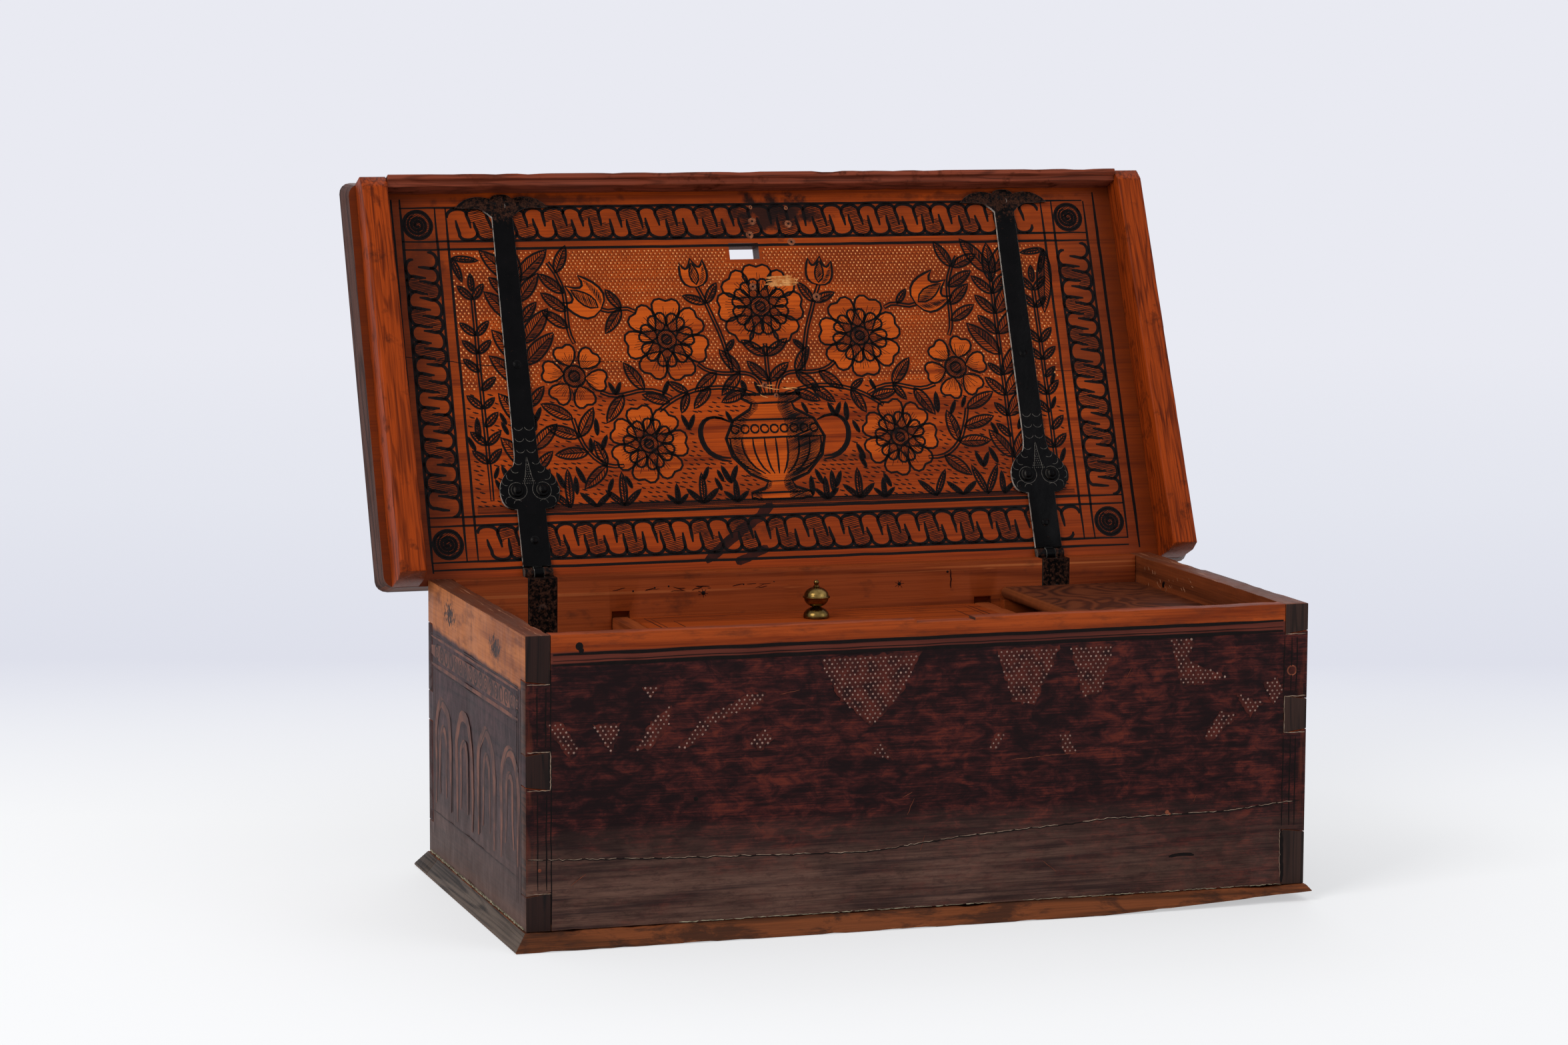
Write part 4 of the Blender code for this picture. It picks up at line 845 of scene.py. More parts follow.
def serpentine(drawing, start, end, low, high, pitch, upright=False):
    """Border of a folded band: lobes along both edges, slits between them, every other fold hatched."""
    count = max(2, round((end - start) / pitch))
    pitch = (end - start) / count
    tall = high - low
    unsteady = [[rng.uniform(-1.0, 1.0) for _ in range(4)] for _ in range(2 * count + 4)]

    def put(points):
        return [(low + v, u) if upright else (u, low + v) for u, v in points]

    def slit(k, offset, top):
        """From a valley between two lobes to the blind end of the slit, wandering a little."""
        sway = unsteady[2 * k + (0 if top else 1)]
        u = start + (k + offset) * pitch + sway[0] * pitch * 0.07
        lean = pitch * (0.10 + 0.05 * sway[1]) * (1 if top else -1)
        near, far = tall * (0.27 + 0.04 * sway[2]), tall * (0.63 + 0.05 * sway[3])
        levels = (near, (near + far) / 2, far)
        return [(u + lean * step, tall - level if top else level)
                for step, level in zip((0.0, 0.8, 1.2), levels)]

    def arch(first, second, crown):
        """The round end of a fold, from one valley to the next."""
        rise = (crown - (first[1] + second[1]) / 2) * 1.3
        bulge = pitch * 0.10
        return bend(first, (first[0] - bulge, first[1] + rise),
                    (second[0] + bulge, second[1] + rise), second, 10)

    for k in range(count):
        first, second = slit(k, 0.0, True), slit(k + 1, 0.0, True)
        crown = arch(first[0], second[0], tall - 0.6)
        drawing.line(put(crown + second[1:]) if k < count - 1 else put(crown), BORDER_BOLD)
        if k == count - 1:
            continue
        under, after = slit(k, 0.55, False), slit(k + 1, 0.55, False)
        bowl = arch(under[0], after[0], 0.6)
        drawing.line(put(under[:0:-1] + bowl), BORDER_BOLD)
        if k % 2:
            middle = tall * 0.5
            fold = crown + second[1:] + [(second[2][0] + 0.3, middle), (after[2][0], middle)]
            fold += after[1::-1] + bowl[-2:0:-1] + under + [(first[1][0], middle)]
            drawing.fine += hatch(put(fold), 0.16 if upright else 0.22)


def draw_lid_border():
    """Frame lines, folded border and corner rosettes on the lid's inside."""
    left_lines, right_lines = (-241.5, -235.8, -213.8, -206.8), (196.2, 203.6, 226.5, 233.8)
    top_lines, low_lines = (241.5, 219.0, 213.6), (38.0, 32.4, 9.2, 4.3)
    lines = Drawing()
    for u in left_lines + right_lines:
        outer = abs(u) > 230
        lines.line(straight((u, 2.5 if outer else low_lines[2]), (u + 0.8, 247.5 if outer else top_lines[0])),
                   BOLD * (1.2 if outer else 1.0))
    for s in top_lines + low_lines:
        lines.line(straight((left_lines[1], s), (right_lines[2], s + 0.5)), BOLD * 1.1)
    border = Drawing()
    for low, high in ((top_lines[1], top_lines[0]), (low_lines[2], low_lines[1])):
        serpentine(border, left_lines[3] + 1.5, right_lines[0] - 1.5, low, high, 12.4)
    for low, high in ((left_lines[1], left_lines[2]), (right_lines[1], right_lines[2])):
        serpentine(border, low_lines[0] + 1.0, top_lines[2] - 1.0, low, high, 10.6, upright=True)
    for u in ((left_lines[1] + left_lines[2]) / 2, (right_lines[1] + right_lines[2]) / 2):
        for s in ((top_lines[0] + top_lines[1]) / 2, (low_lines[1] + low_lines[2]) / 2):
            for reach, start in ((9.4, 0.4), (8.3, 2.2)):
                border.line(ring((u, s), reach, start, math.tau * 1.05, 26), BOLD)
            border.line(ring((u, s), 6.8, 2.0, math.tau * 2.6, 44, inward=0.85), BOLD * 1.2)
            border.fine += hatch(ring((u, s), 7.6, count=16)[:-1], 0.5, HATCH_GAP * 0.9)
    pen_work("lid_frame_lines", lines.bold, LID_UNDER, INK)
    pen_work("lid_border_lines", border.bold, LID_UNDER, INK)
    pen_work("lid_border_hatching", border.fine, LID_UNDER, INK)


def draw_vase(scene):
    """A footed vase with ribs, a row of rings and one side shaded more than the other."""
    half = [(13, 43), (20, 44), (20, 47.5), (10, 51), (8, 55), (19, 60), (30, 72), (33, 84), (27, 96),
            (15, 103), (13.5, 107), (20, 110.5), (20, 113)]
    vase = [(MIDDLE + u, s) for u, s in half] + [(MIDDLE - u, s) for u, s in reversed(half)]
    scene.shape(vase, width=BOLD * 1.2)
    scene.light.append(vase)
    for sign, inner, gap in ((1, 0.25, 0.62), (-1, 0.66, 0.8)):
        shaded = [(MIDDLE + sign * u, s) for u, s in half]
        shaded += [(MIDDLE + sign * u * inner, s) for u, s in reversed(half)]
        scene.fine += hatch(shaded, 0.35 * sign, HATCH_GAP * gap)
    for s, reach in ((47.5, 20), (55, 8), (84, 33), (96, 27), (107, 13.5)):
        scene.line(straight((MIDDLE - reach, s), (MIDDLE + reach, s + 0.3)), BOLD * 0.85)
    for k in range(-4, 5):
        rib = bend((MIDDLE + k * 3, 60), (MIDDLE + k * 7, 66),
                   (MIDDLE + k * 7.8, 76), (MIDDLE + k * 7.6, 84), 6)
        scene.line(rib, BOLD * 0.8)
        scene.line(ring((MIDDLE + k * 6.6, 90), 2.7, count=10), BOLD * 0.8)


def draw_flowers(scene):
    """Flowers and leafy stems from the vase, the vase's handles, sprays and plants, alike on both sides."""
    scene.leafy_stem(straight((MIDDLE, 113), (MIDDLE, 147), 8.5), 11.0, 19.0)
    scene.bloom((MIDDLE, 172), 27.0, 8, rows=2)
    for side in (-1, 1):

        def course(*corners, side=side, count=14):
            return bend(*((MIDDLE + side * u, s) for u, s in corners), count)

        for reach in (0.0, 2.2):
            scene.line(course((29, 95), (54 + reach, 110), (56 + reach, 70), (31, 71 - reach)), BOLD * 1.1)
        handle = course((29, 95), (58, 112), (60, 68), (31, 70))
        scene.taken.append((handle, MIDDLE - 55, MIDDLE + 55, 66, 108))
        scene.bloom((MIDDLE + side * 65, 151), 26.0, 7, side * 0.3, rows=2)
        scene.bloom((MIDDLE + side * 84, 82), 24.0, 7, side * 0.9, rows=2)
        scene.bloom((MIDDLE + side * 128, 128), 20.0, 6, side * 0.2)
        scene.tulip((MIDDLE + side * 106, 172), -side * 0.95, 21.0)
        scene.tulip((MIDDLE + side * 41, 186), -side * 0.15, 15.0)
        scene.leafy_stem(course((4, 113), (8, 140), (30, 118), (46, 134)), 12.0, 20.0)
        scene.leafy_stem(course((10, 113), (38, 124), (60, 116), (75, 104)), 11.0, 18.0)
        scene.leafy_stem(course((66, 112), (86, 126), (96, 108), (112, 117), count=10), 10.0, 22.0)
        scene.leafy_stem(course((24, 128), (26, 150), (34, 170), (41, 186), count=10), 14.0, 16.0)
        scene.leafy_stem(course((84, 170), (92, 176), (98, 168), (106, 172), count=6), 9.0, 20.0)
        scene.leafy_stem(course((102, 68), (120, 66), (128, 80), (132, 100), count=10), 10.0, 22.0)
        scene.leafy_stem(course((126, 150), (134, 164), (122, 182), (138, 204), count=10), 11.0, 20.0)
        scene.spray((MIDDLE + side * 160, 52), 140, 14.0, 30.0)
        scene.spray((MIDDLE + side * 189, 48), 140, 12.0, 13.0)
        for u, tall in ((30, 15), (52, 20), (69, 13), (104, 22), (122, 19), (139, 25), (174, 24), (150, 15)):
            scene.tuft((MIDDLE + side * u, TURF), tall)
        corner = (MIDDLE + side * 200, 208)
        for k in range(8):
            turn = side * (math.pi / 2 + 0.12 + k * 0.19)
            for size in (54.0, 44.0, 34.0, 25.0, 17.0):
                if scene.leaf_fits(corner, turn, size, size * 0.17):
                    scene.leaf(corner, turn, size, size * 0.17)
                    break


def draw_turf(scene):
    """Small plants wherever they find room, ground lines, and short strokes between the plants."""
    for _ in range(240):
        root = (rng.uniform(FIELD_LEFT + 2, FIELD_RIGHT - 2), rng.uniform(44, 116))
        scene.tuft(root, rng.uniform(9, 15), 3)
    for k in range(6):
        level = 40.0 + k * 0.8
        end = (FIELD_RIGHT, level + rng.uniform(-0.8, 0.8))
        scene.fine.append((straight((FIELD_LEFT, level), end), FINE))
    for row in range(26):
        s = 45.0 + row * 2.9
        for column in range(80):
            u = FIELD_LEFT + column * 5.0 + rng.uniform(-1.0, 1.0) + (row % 2) * 2.5
            length = rng.uniform(2.4, 3.8)
            if u + length < FIELD_RIGHT and scene.free(u, s, 1.2) and scene.free(u + length, s - 1.0, 1.2):
                scene.fine.append(([(u, s), (u + length / 2, s - 0.6), (u + length, s - 1.0)], FINE * 1.6))


def draw_lid_field():
    """The lid's inside within its border: a vase of flowers on turf, and a punched ground above, each mark
    with a painted shadow.
    """
    scene = Drawing()
    draw_vase(scene)
    draw_flowers(scene)
    draw_turf(scene)
    fill_work("lid_flower_light", scene.light, LID_UNDER, light_finish(), INK_LIFT * 0.3)
    pen_work("lid_flower_lines", scene.bold, LID_UNDER, INK)
    pen_work("lid_flower_hatching", scene.fine, LID_UNDER, INK)
    dots = []
    for row in range(46):
        s = 121.0 + row * DOT_ROW
        for column in range(138):
            u = FIELD_LEFT - 0.5 + column * DOT_PITCH + (row % 2) * DOT_PITCH / 2 + rng.uniform(-0.25, 0.25)
            near_slot = -24 < u < 1 and s > 201
            if u < FIELD_RIGHT and s < FIELD_TOP and not near_slot and scene.free(u, s):
                dots.append((u, s, rng.uniform(0.6, 0.78)))
    dot_work("lid_punch_marks", dots, 0.16, LID_UNDER, PUNCHED_LIGHT)
    # Each punch mark gets a dark dot below and to its left: a painted shadow, as if cast by a lamp at the
    # upper left.
    hollows = [(u - 0.85, s - 0.4, size * 0.95) for u, s, size in dots]
    dot_work("lid_punch_painted_shadows", hollows, 0.06, LID_UNDER, PUNCH_SHADOW, 5)


def draw_lid_marks():
    """Plugs of the lost lock, cracks, scrapes and dark runs on the lid's inside."""
    plugs = [(-3.9, 230, 3.1), (-6.6, 220.8, 3.2), (20.4, 228, 2.9), (21.1, 215.6, 3.0), (-8.5, 185.5, 2.9),
             (33.7, 177.8, 3.2), (-3.9, 239.7, 1.6), (20.1, 238.9, 1.7), (-1.3, 112, 1.9), (-8.4, 119, 2.2)]
    dot_work("lid_plugs", plugs, 0.3, LID_PLUGS, PLUG, 11)
    dot_work("lid_plug_hearts", [(u, s, size * 0.4) for u, s, size in plugs], 0.42, LID_PLUGS, INK, 9)
    cracks = [(wavering((-244, 143.5), (-170, 134), 4.0, 0.7, 0.4), 0.5),
              (wavering((-160, 138.5), (-46, 135.5), 4.0, 0.7, 0.4), 0.4),
              (wavering((150, 128), (231, 121.5), 4.0, 0.7, 0.4), 0.35),
              (wavering((196, 65), (229, 63), 4.0, 0.6, 0.4), 0.35)]
    pen_work("lid_cracks", cracks, LID_UNDER, INK)
    scrapes = []
    for k in range(9):
        s = 185.6 + k * 0.75
        start, end = (-1 + rng.uniform(0, 6), s), (14 + rng.uniform(0, 9), s + 0.6)
        scrapes.append((wavering(start, end, 2.0, 0.4, 0.5), rng.uniform(0.5, 1.1)))
    for _ in range(7):
        u, s = rng.uniform(-14, 6), rng.uniform(112, 121)
        end = (u + rng.uniform(3, 8), s - rng.uniform(0, 3))
        scrapes.append((wavering((u, s), end, 2.0, 0.5, 0.5), 0.6))
    pen_work("lid_scrapes", scrapes, LID_UNDER, RAW, INK_LIFT * 1.3)
    runs = [(shake(bend((-12, 40), (-20, 32), (-44, 18), (-60, 3), 16), 1.6, 0.25), 6.5),
            (shake(bend((-18, 12), (-24, 9), (-33, 6), (-41, 2.4), 10), 1.4, 0.25), 5.5)]
    pen_work("lid_dark_runs", runs, LID_UNDER, STAIN, INK_LIFT * 0.5)


def dust_line(start, end, level, width):
    """Short ragged strokes of dust along a joint."""
    strokes = []
    while start < end:
        run = rng.uniform(3.0, 14.0)
        stroke = wavering((start, level), (min(start + run, end), level), 1.5, 0.6, 0.6)
        strokes.append((stroke, width * rng.uniform(0.5, 1.2)))
        start += run * rng.uniform(0.8, 1.3)
    return strokes


def draw_front():
    """Front: lines, gaps at the pins, punched patches, a long crack, a dent, scratches, a plug and nails."""
    top = RIM / MM
    lines = []
    for drop, width in ((10.6, 2.0), (16.6, 2.2), (14.3, 0.5)):
        start, end = (-224, top - drop - 0.8), (224, top - drop + 0.6)
        lines.append((wavering(start, end, 6.0, 0.4, 0.05), width))
    whole, left_stile, right_stile = ((14, 160),), ((34, 89), (116, 150)), ((46, 100), (127, 160))
    for u, width, runs in ((-233.2, 0.7, left_stile), (-228.0, 0.8, left_stile), (-225.2, 0.7, whole),
                           (225.0, 0.7, right_stile), (229.6, 0.8, right_stile), (233.0, 0.7, right_stile)):
        for low, high in runs:
            lines.append((wavering((u, low), (u, high), 6.0, 0.5), width))
    lines.append((wavering((225.6, 12), (225.2, 43), 2.0, 0.6, 0.5), 2.0))
    pen_work("front_lines", lines, FRONT, INK, INK_LIFT * 0.6)
    gaps = []
    for side, pins in ((-1, LEFT_PINS), (1, RIGHT_PINS)):
        tip, root = side * HALF_WIDTH / MM - side, side * END_INNER / MM
        for low, high in pins:
            corners = [(tip, low), (root, low), (root, high), (tip, high)]
            for first, second in zip(corners, corners[1:]):
                if max(first[1], second[1]) < 170 and min(first[1], second[1]) > 12 and rng.random() < 0.8:
                    gaps.append((wavering(first, second, 1.5, 0.4, 0.6), rng.uniform(0.25, 0.5)))
    gaps.append((wavering((224.2, 15), (223.9, 44), 1.5, 0.7, 0.5), 0.22))
    pen_work("front_pin_gaps", gaps, FRONT, CHIP)

    patches = [[(-66, 160), (-4, 161), (-16, 138), (-34, 119), (-54, 136)],
               [(42, 161), (82, 161), (66, 127), (52, 130)],
               [(88, 161), (116, 161), (108, 133), (97, 130)],
               [(152, 162), (167, 161), (163, 149), (188, 138), (159, 133)],
               [(-230, 131), (-219, 130), (-208, 114), (-215, 110)],
               [(-201, 128), (-184, 128), (-190, 111)],
               [(-176, 112), (-167, 128), (-154, 137), (-156, 126), (-166, 113)],
               [(-152, 110), (-138, 126), (-112, 140), (-98, 142), (-100, 136), (-128, 126), (-142, 113)],
               [(-108, 113), (-100, 121), (-94, 115), (-102, 108)],
               [(-36, 102), (-29, 110), (-20, 99)],
               [(194, 128), (212, 121), (203, 113)],
               [(174, 102), (184, 118), (195, 114), (179, 100)],
               [(212, 134), (221, 136), (225, 128), (218, 119)],
               [(82, 109), (88, 110), (93, 97), (85, 97)],
               [(-172, 148), (-162, 148), (-167, 142)],
               [(38, 102), (43, 112), (48, 111), (42, 102)]]
    grounds = []
    for patch in patches:
        rim = []
        for first, second in zip(patch, patch[1:] + patch[:1]):
            rim += straight(first, second, 1.6)[:-1]
        grounds.append(shake(rim, 2.0, 0.5))
    fill_work("front_punched_ground", grounds, FRONT, RED_GROUND, INK_LIFT * 0.4)
    dots = []
    for row in range(30):
        v = 96.0 + row * FRONT_DOT_PITCH * 0.75
        for column in range(152):
            u = -232 + column * FRONT_DOT_PITCH + (row % 2) * FRONT_DOT_PITCH / 2
            if any(lies_in((u, v), patch) for patch in patches):
                dots.append((u + rng.uniform(-0.2, 0.2), v + rng.uniform(-0.2, 0.2), rng.uniform(0.65, 0.85)))
    dot_work("front_punch_marks", dots, 0.2, FRONT, PUNCHED_DARK)

    course = [(-238.8, 128.2), (-160, 131.5), (-36.9, 134.8), (21.8, 129.1), (115, 123.6), (187.5, 123.2),
              (238.5, 118.6)]
    crack, chips = [], []
    for (u, drop), (end, end_drop) in zip(course, course[1:]):
        crack += straight((u, top - drop), (end, top - end_drop), 2.2)[:-1]
    crack = shake(crack, 0.9, 0.35)
    for first in range(0, len(crack) - 4, 5):
        if rng.random() < 0.9:
            piece = crack[first:first + rng.randint(4, 7)]
            chips.append(([(u, v + 0.4) for u, v in piece], rng.uniform(0.2, 0.42)))
    dent = bend((152.5, 31.4), (157, 32.6), (164, 32.8), (168.5, 31.6), 8)
    pen_work("front_crack", [(crack, 0.75), (dent, 1.9)], FRONT, INK)
    pen_work("front_crack_chips", chips, FRONT, CHIP, INK_LIFT * 1.4)
    scratches = []
    for u, v, run, rise in ((-12, 66, 4, 9), (-15, 76, 6, 3), (124, 140, 3, 6), (52, 95, 40, 2),
                            (-90, 140, 12, 2), (168, 64, 2, 4), (-214, 36, 9, 6), (72, 34, 9, -7),
                            (-4, 44, 3, 9)):
        scratches.append((wavering((u, v), (u + run, v + rise), 2.0, 0.5, 0.4), 0.25))
    pen_work("front_scratches", scratches, FRONT, RAW_RED)
    dust = dust_line(-150, 40, 10.9, 0.5) + dust_line(60, 225, 10.8, 0.35)
    pen_work("front_base_dust", dust, FRONT, DUST, INK_LIFT * 2.0)
    nails = [(-208.6, 173, 2.4), (-207.4, 170.6, 1.6), (-140, 82, 1.5)]
    dot_work("front_old_nails", nails, 0.22, FRONT, INK, 10)
    broken = [(151, 58.4, 1.5), (152.6, 57.2, 1.0), (-232, 45.6, 1.3)]
    dot_work("front_chips", broken, 0.2, FRONT, RAW_RED, 7)
    dot_work("front_plug_rim", [(230, 140, 4.0)], 0.12, FRONT, RAW_RED, 18)
    dot_work("front_plug", [(230, 140, 3.3)], 0.2, FRONT, RED_GROUND, 18)


def draw_end(name, ground, front_sign, band):
    """An end: faded frame lines, a row of rings under the bare band, a row of arches and dust at the base."""
    top = RIM / MM - band / MM
    row = top - 12.2
    faded, pale = Drawing(), Drawing()
    edge, spring = 105.0, 66.0
    for level in (top - 2.0, top - 5.6, top - 18.6, top - 23.2, 38.4, 24.0):
        faded.line(straight((-edge - 9, level), (edge, level), 8.0), 0.9)
    for u in (edge + 6, edge, edge - 4, -edge - 4, -edge):
        faded.line(straight((u, 24), (u, top - 3), 8.0), 0.8)
    for level, width in ((top - 3.8, 1.6), (row, 10.5), (top - 20.8, 2.4)):
        pale.line(straight((-edge - 9, level), (edge, level), 8.0), width)
    count = 17
    for k in range(count):
        u = -edge + 6 + (2 * edge - 8) * k / (count - 1)
        faded.line(ring((u, row), 4.3, 0.4 * k, math.tau * 0.93, 16), 1.9)
        faded.line(ring((u, row), 1.5, 0.4 * k, math.tau, 8), 1.1)
    for u in (-84, -28, 28, 84):
        centre = u * front_sign
        for reach, width, foot in ((20.0, 6.5, 44.0), (8.5, 4.5, 52.0)):
            arch = [(centre - reach, foot), (centre - reach, spring)]
            arch += ring((centre, 84.0), reach, math.pi, -math.pi, 14, 1.25)
            arch += [(centre + reach, spring), (centre + reach, foot)]
            pale.line(shake(arch, 3.0, 0.06), width)
            faded.line([(a + width * 0.6, b + 1.5) for a, b in shake(arch, 3.0, 0.06)], 1.1)
    kept = [stroke for stroke in faded.bold if rng.random() < 0.85]
    pen_work(name, kept, ground, FADED, INK_LIFT * 0.6)
    pen_work(name + "_pale", pale.bold, ground, PALE_STAIN, INK_LIFT * 0.4)
    dust = dust_line(-120, 118, 10.9, 1.3) + dust_line(-120, 118, 11.5, 0.5)
    pen_work(name + "_dust", dust, ground, DUST, INK_LIFT * 3.0)


def draw_lid_top():
    """Outside of the lid: plain frame lines on the dark stain, and the pegs of the battens and the rail."""
    lines = []
    for inset, width in ((12, 2.2), (18, 1.0), (26, 1.6)):
        lines += frame_lines(-268 + inset, 268 - inset, -260 + inset, 2 - inset * 0.3, 8.0, 0.4, width)
    pen_work("lid_top_lines", lines, LID_OVER, INK)
    low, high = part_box("front_rail")
    rail = (LID_PLACE.inverted() @ ((low + high) / 2)).y / MM
    radius = 2.7
    pegs = [(u, rail, radius) for u in (-192, -96, 0, 96, 192)]
    for name in ("left_batten", "right_batten"):
        low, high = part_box(name)
        pegs += [((low.x + high.x) / 2 / MM, rail + 22 + 51 * k, radius) for k in range(5)]
    dot_work("lid_top_pegs", pegs, 0.12, LID_OVER, PEG, 11)


def draw_straps():
    """Chased lines and punched dots on the strap hinges, coloured pale as painted highlights."""
    thin = 0.26
    for name, hinge_x in (("left_strap_chasing", -HINGE_X), ("right_strap_chasing", HINGE_X)):
        strokes = []
        for s in (93.7, 86.3, 79.0):
            for side in (-1, 1):
                curl = ring((hinge_x + side * 3.4, s + 1.8), 3.0, math.pi * 1.1, math.pi * 0.8, 8)
                strokes.append((curl, thin))
        for u, s, turn in ((5.6, 71.8, 0.2), (8.0, 66.4, 0.5), (11.4, 61.6, 0.8), (14.6, 58.4, 0.9),
                           (16.4, 52.0, 1.4), (13.4, 45.4, 2.2), (8.2, 43.4, 2.9)):
            for side in (-1, 1):
                arc = ring((0, 0), 2.8, math.pi * 1.12, math.pi * 0.76, 8)
                arc = [(side * a, b) for a, b in moved(arc, (0, 0), turn)]
                strokes.append(([(hinge_x + side * u + a, s + 1.2 + b) for a, b in arc], thin))
        for side in (-1, 1):
            boss = (hinge_x + side * 8.2, 53.5)
            scroll = ring(boss, 6.6, math.pi / 2 + side * 0.9, side * math.tau * 0.95, 26, inward=0.25)
            tip = (hinge_x + side * 0.3, 75.0)
            stalk = bend(tip, (tip[0] + side * 0.6, 68), (tip[0] + side * 2.0, 62), scroll[0], 9)
            strokes += [(stalk, thin), (scroll, thin)]
        pen_work(name, strokes, STRAPS, CHASING_HIGHLIGHT)
        dots = []
        for row in range(9):
            across = max(1, 7 - row)
            for k in range(across):
                dots.append((hinge_x + (k - (across - 1) / 2) * 1.35, 58.0 + row * 1.5, 0.38))
        dot_work(name + "_dots", dots, 0.14, STRAPS, CHASING_HIGHLIGHT)


def draw_inside():
    """Nail holes, stains and gouges on the walls, and lines round the inner lid."""
    top = RIM / MM
    holes = [(-66.3, top - 13.5, 1.5), (63.5, top - 12.6, 1.4), (-98, top - 9, 0.7), (-89, top - 8.4, 0.6),
             (-112, top - 10.6, 0.7), (96, top - 6, 0.8), (-40, top - 9, 0.6), (-20, top - 8, 0.5)]
    dot_work("back_wall_nail_holes", holes, 0.2, BACK_WALL, INK, 9)
    rays = []
    for u, v, size in holes[:2]:
        for k in range(7):
            angle = k * 0.9 + rng.uniform(-0.2, 0.2)
            reach = size * rng.uniform(1.6, 2.6)
            rays.append(([(u, v), (u + reach * math.cos(angle), v + reach * math.sin(angle))], 0.6))
    smears = [(wavering((98, top - 4.8), (98.3, top - 17), 2.0, 0.6, 0.4), 0.7)]
    for _ in range(16):
        u = rng.uniform(-126, -28)
        start = (u, top - rng.uniform(8, 12))
        end = (u + rng.uniform(2, 9), top - rng.uniform(8, 12))
        smears.append((wavering(start, end, 2.0, 0.5, 0.4), rng.uniform(0.3, 0.7)))
    pen_work("back_wall_stains", rays + smears, BACK_WALL, STAIN)
    gouges = []
    for _ in range(26):
        u, v = rng.uniform(-98, -18), top - rng.uniform(4, 16)
        end = (u + rng.uniform(0.8, 2.6), v - rng.uniform(0.5, 2.5))
        gouges.append((wavering((u, v), end, 0.8, 0.4, 0.5), rng.uniform(0.3, 0.8)))
    pen_work("right_wall_gouges", gouges, RIGHT_WALL, GOUGE)
    hole = [(-66, top - 13.5, 2.3), (-64.5, top - 12, 1.4)]
    dot_work("right_wall_nail_hole", hole, 0.2, RIGHT_WALL, INK, 9)
    near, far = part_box("inner_lid_panel")
    low, high, reach = near.y / MM, far.y / MM, far.x / MM
    lines = []
    for inset, width in ((7.0, 0.9), (10.5, 0.6), (22.0, 0.8)):
        lines += frame_lines(-reach + inset, reach - inset, low + inset, high - inset, 7.0, 0.35, width)
    pen_work("inner_lid_lines", lines, INNER_LID, FAINT_INK, INK_LIFT * 0.6)


def dress_cad():
    """Give every CAD node its finish; boards and ironwork get rounded, worn copies."""
    front = front_finish()
    bare = bare_finish("bare_inside", tone(130, 56, 21), tone(88, 32, 10), "X", 0.7, 0.6)
    back = bare_finish("back_stain", tone(130, 56, 21), tone(88, 32, 10), "X", 0.7, 0.6, True)
    bare_y = bare_finish("bare_partition", tone(140, 66, 30), tone(98, 42, 18), "Y", 0.0, 0.3)
    panel = bare_finish("inner_lid_wood", tone(152, 64, 20), tone(106, 41, 11), "X", 0.0, 0.35)
    base = base_finish()
    soften("front_board", front, CRISP_ARRIS, wear=0.0009, cut=ALONG_X)
    soften("back_board", back, CRISP_ARRIS, wear=0.0008, cut=ALONG_X)
    for name, *looks in (("left_end_board", -1, LEFT_BAND, tone(37, 21, 18), tone(11, 7, 7)),
                         ("right_end_board", 1, RIGHT_BAND, tone(50, 33, 28), tone(21, 14, 13))):
        stain = end_finish(name + "_stain", *looks)
        soften(name, stain, CRISP_ARRIS, wear=0.0012, cut=ALONG_Y)
    soften("base_board", base, BASE_ARRIS, wear=0.0018, cut=ALONG_X)
    soften("base_rear_strip", base, BASE_ARRIS, wear=0.0015, cut=ALONG_X)
    for name in ("left_partition", "right_partition"):
        soften(name, bare_y, SOFT_ARRIS, wear=0.0008, cut=ALONG_Y)
    soften("inner_lid_panel", panel, 0.0005)
    soften("till_cover", burl_finish(), 0.0003)
    batten = batten_finish("batten_polish", "Y", tone(152, 60, 16), tone(80, 27, 8), 0.8)
    rail = batten_finish("rail_polish", "X", tone(126, 63, 46), tone(66, 34, 26), 1.0)
    for name in ("left_batten", "right_batten"):
        soften(name, batten, SOFT_ARRIS, wear=0.0007, cut=ALONG_Y)
    soften("front_rail", rail, SOFT_ARRIS, wear=0.0011, cut=ALONG_X)
    # The last argument of iron_finish scales the worn arrises together with the painted highlight on faces
    # turned to the left.
    strap = iron_finish("strap_iron", True, 0.0)
    leaf = iron_finish("leaf_iron", False, 0.2, 0.2)
    head = iron_finish("nail_iron", True, 0.05, 0.08)
    brass = brass_finish()
    lid = lid_finish()
    for name in ("left_strap", "right_strap"):
        soften(name, strap, 0.0012, 0.0004, 40.0, below=STRAP_FACE + 0.0001, rounds=1)
    for name in ("knob_rosette", "knob_ball"):
        soften(name, brass, 0.00012, 0.0003, 30.0)
    for name, item in frame["nodes"].items():
        if item.hide_render:
            continue
        finish = bare
        if name == "lid_board":
            finish = lid
        elif "strap" in name:
            finish = head
        elif "hinge" in name:
            finish = leaf
        elif name.startswith("knob"):
            finish = brass
        item.data.materials.clear()
        item.data.materials.append(finish)


# Studio
FAR_PAPER = tone(233, 234, 242)


def blend_for_eye(tree, lighting, shown):
    """What the camera and mirrors see of a backdrop, apart from how it lights the object."""
    path = tree.nodes.new("ShaderNodeLightPath")
    seen = path.outputs["Is Camera Ray"]
    for other in ("Is Glossy Ray", "Is Transmission Ray"):
        either = tree.nodes.new("ShaderNodeMath")
        either.operation = "MAXIMUM"
        tree.links.new(seen, either.inputs[0])
        tree.links.new(path.outputs[other], either.inputs[1])
        seen = either.outputs[0]
    blend = tree.nodes.new("ShaderNodeMixShader")
    for slot, socket in enumerate((seen, lighting, shown)):
        tree.links.new(socket, blend.inputs[slot])
    return blend.outputs[0]


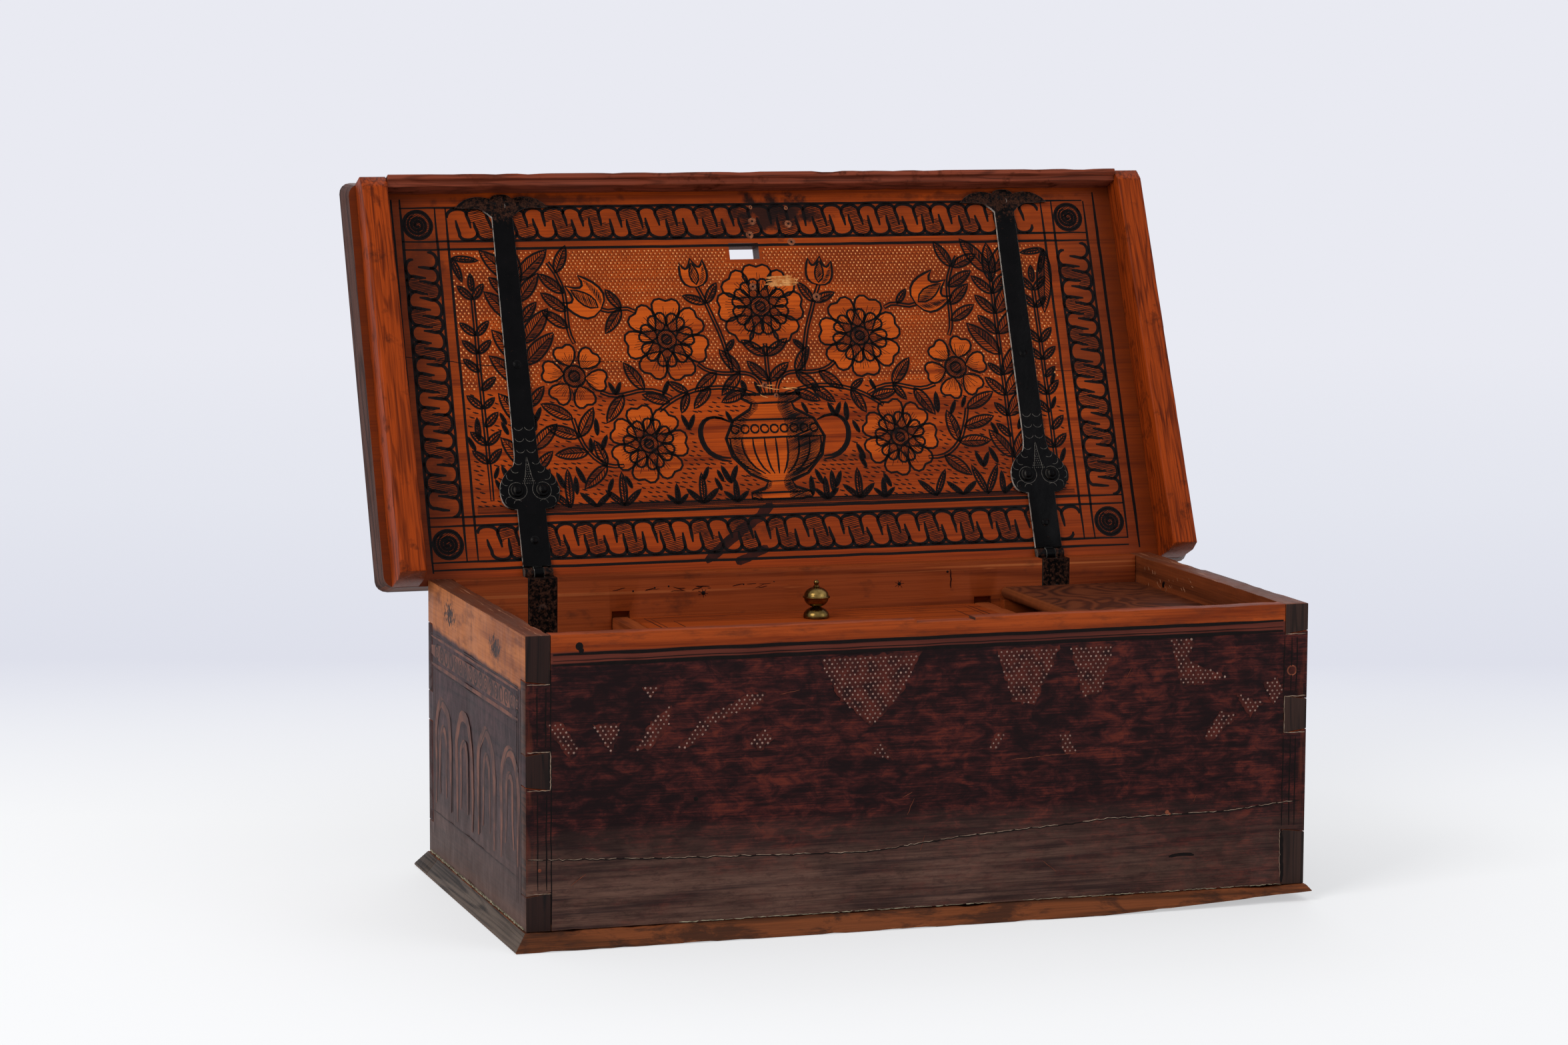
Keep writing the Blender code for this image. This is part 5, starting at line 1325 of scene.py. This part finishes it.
def make_studio():
    """Pale floor, soft light from all round with a stronger lamp at the left, and the camera."""
    down = (CAMERA_DOWN - CAMERA_RIGHT * CAMERA_DOWN.dot(CAMERA_RIGHT)).normalized()
    forward = CAMERA_RIGHT.cross(down)
    lens = bpy.data.cameras.new("camera")
    lens.lens, lens.sensor_width, lens.clip_end = LENS_MM, SENSOR_MM, FARTHEST
    camera = bpy.data.objects.new("camera", lens)
    turn = Matrix((CAMERA_RIGHT, -down, -forward)).transposed().to_4x4()
    camera.matrix_world = Matrix.Translation(CAMERA_PLACE) @ turn
    bpy.context.scene.collection.objects.link(camera)
    bpy.context.scene.camera = camera

    for name, spot, size, power, colour in LAMPS:
        lamp = bpy.data.lights.new(name, "AREA")
        lamp.size, lamp.energy, lamp.color = size, power, colour
        holder = bpy.data.objects.new(name, lamp)
        aim = (LAMP_AIM - Vector(spot)).to_track_quat("-Z", "Y").to_matrix().to_4x4()
        holder.matrix_world = Matrix.Translation(spot) @ aim
        bpy.context.scene.collection.objects.link(holder)

    world = bpy.data.worlds.new("studio")
    bpy.context.scene.world = world
    world.use_nodes = True
    tree = world.node_tree
    light = tree.nodes["Background"]
    light.inputs["Color"].default_value = (1.0, 1.0, 1.0, 1.0)
    light.inputs["Strength"].default_value = ROUND_LIGHT
    shown = tree.nodes.new("ShaderNodeBackground")
    shown.inputs["Color"].default_value = FAR_PAPER
    sky = blend_for_eye(tree, light.outputs[0], shown.outputs[0])
    tree.links.new(sky, tree.nodes["World Output"].inputs[0])

    bm = bmesh.new()
    bmesh.ops.create_circle(bm, cap_ends=True, segments=64, radius=FLOOR_REACH)
    bmesh.ops.translate(bm, verts=bm.verts, vec=(0.0, 0.0, -FLOOR_DROP))
    mesh = bpy.data.meshes.new("floor")
    bm.to_mesh(mesh)
    bm.free()
    floor = bpy.data.objects.new("floor", mesh)
    bpy.context.scene.collection.objects.link(floor)
    f = Finish("floor_paper")
    f.close(FLOOR_COLOUR, 0.9, gloss=0.1)
    away = f.measure("LENGTH", f.spot)
    depth = f.measure("DOT_PRODUCT", f.spot, STRAIGHT_BACK)
    fade = f.ramp(f.remap(depth, 0.0, 4.0), (0.05, tone(249, 250, 252)), (0.22, tone(222, 224, 235)),
                  (0.5, tone(228, 230, 239)), (1.0, FAR_PAPER))
    shown = f.add("Emission", {"Color": fade})
    paper = f.remap(away, 0.35, 0.95, 0.5, 1.0)
    both = f.add("MixShader", {0: paper, 1: f.shader.outputs[0], 2: shown.outputs[0]})
    surface = f.tree.nodes["Material Output"].inputs["Surface"]
    f.tree.links.new(blend_for_eye(f.tree, f.shader.outputs[0], both.outputs[0]), surface)
    mesh.materials.append(f.material)
    bpy.context.scene.view_settings.view_transform = "Standard"


make_studio()
dress_cad()
draw_lid_border()
draw_lid_field()
draw_lid_marks()
draw_front()
draw_end("left_end_pen_work", LEFT, 1, LEFT_BAND)
draw_end("right_end_pen_work", RIGHT, -1, RIGHT_BAND)
draw_lid_top()
draw_straps()
draw_inside()
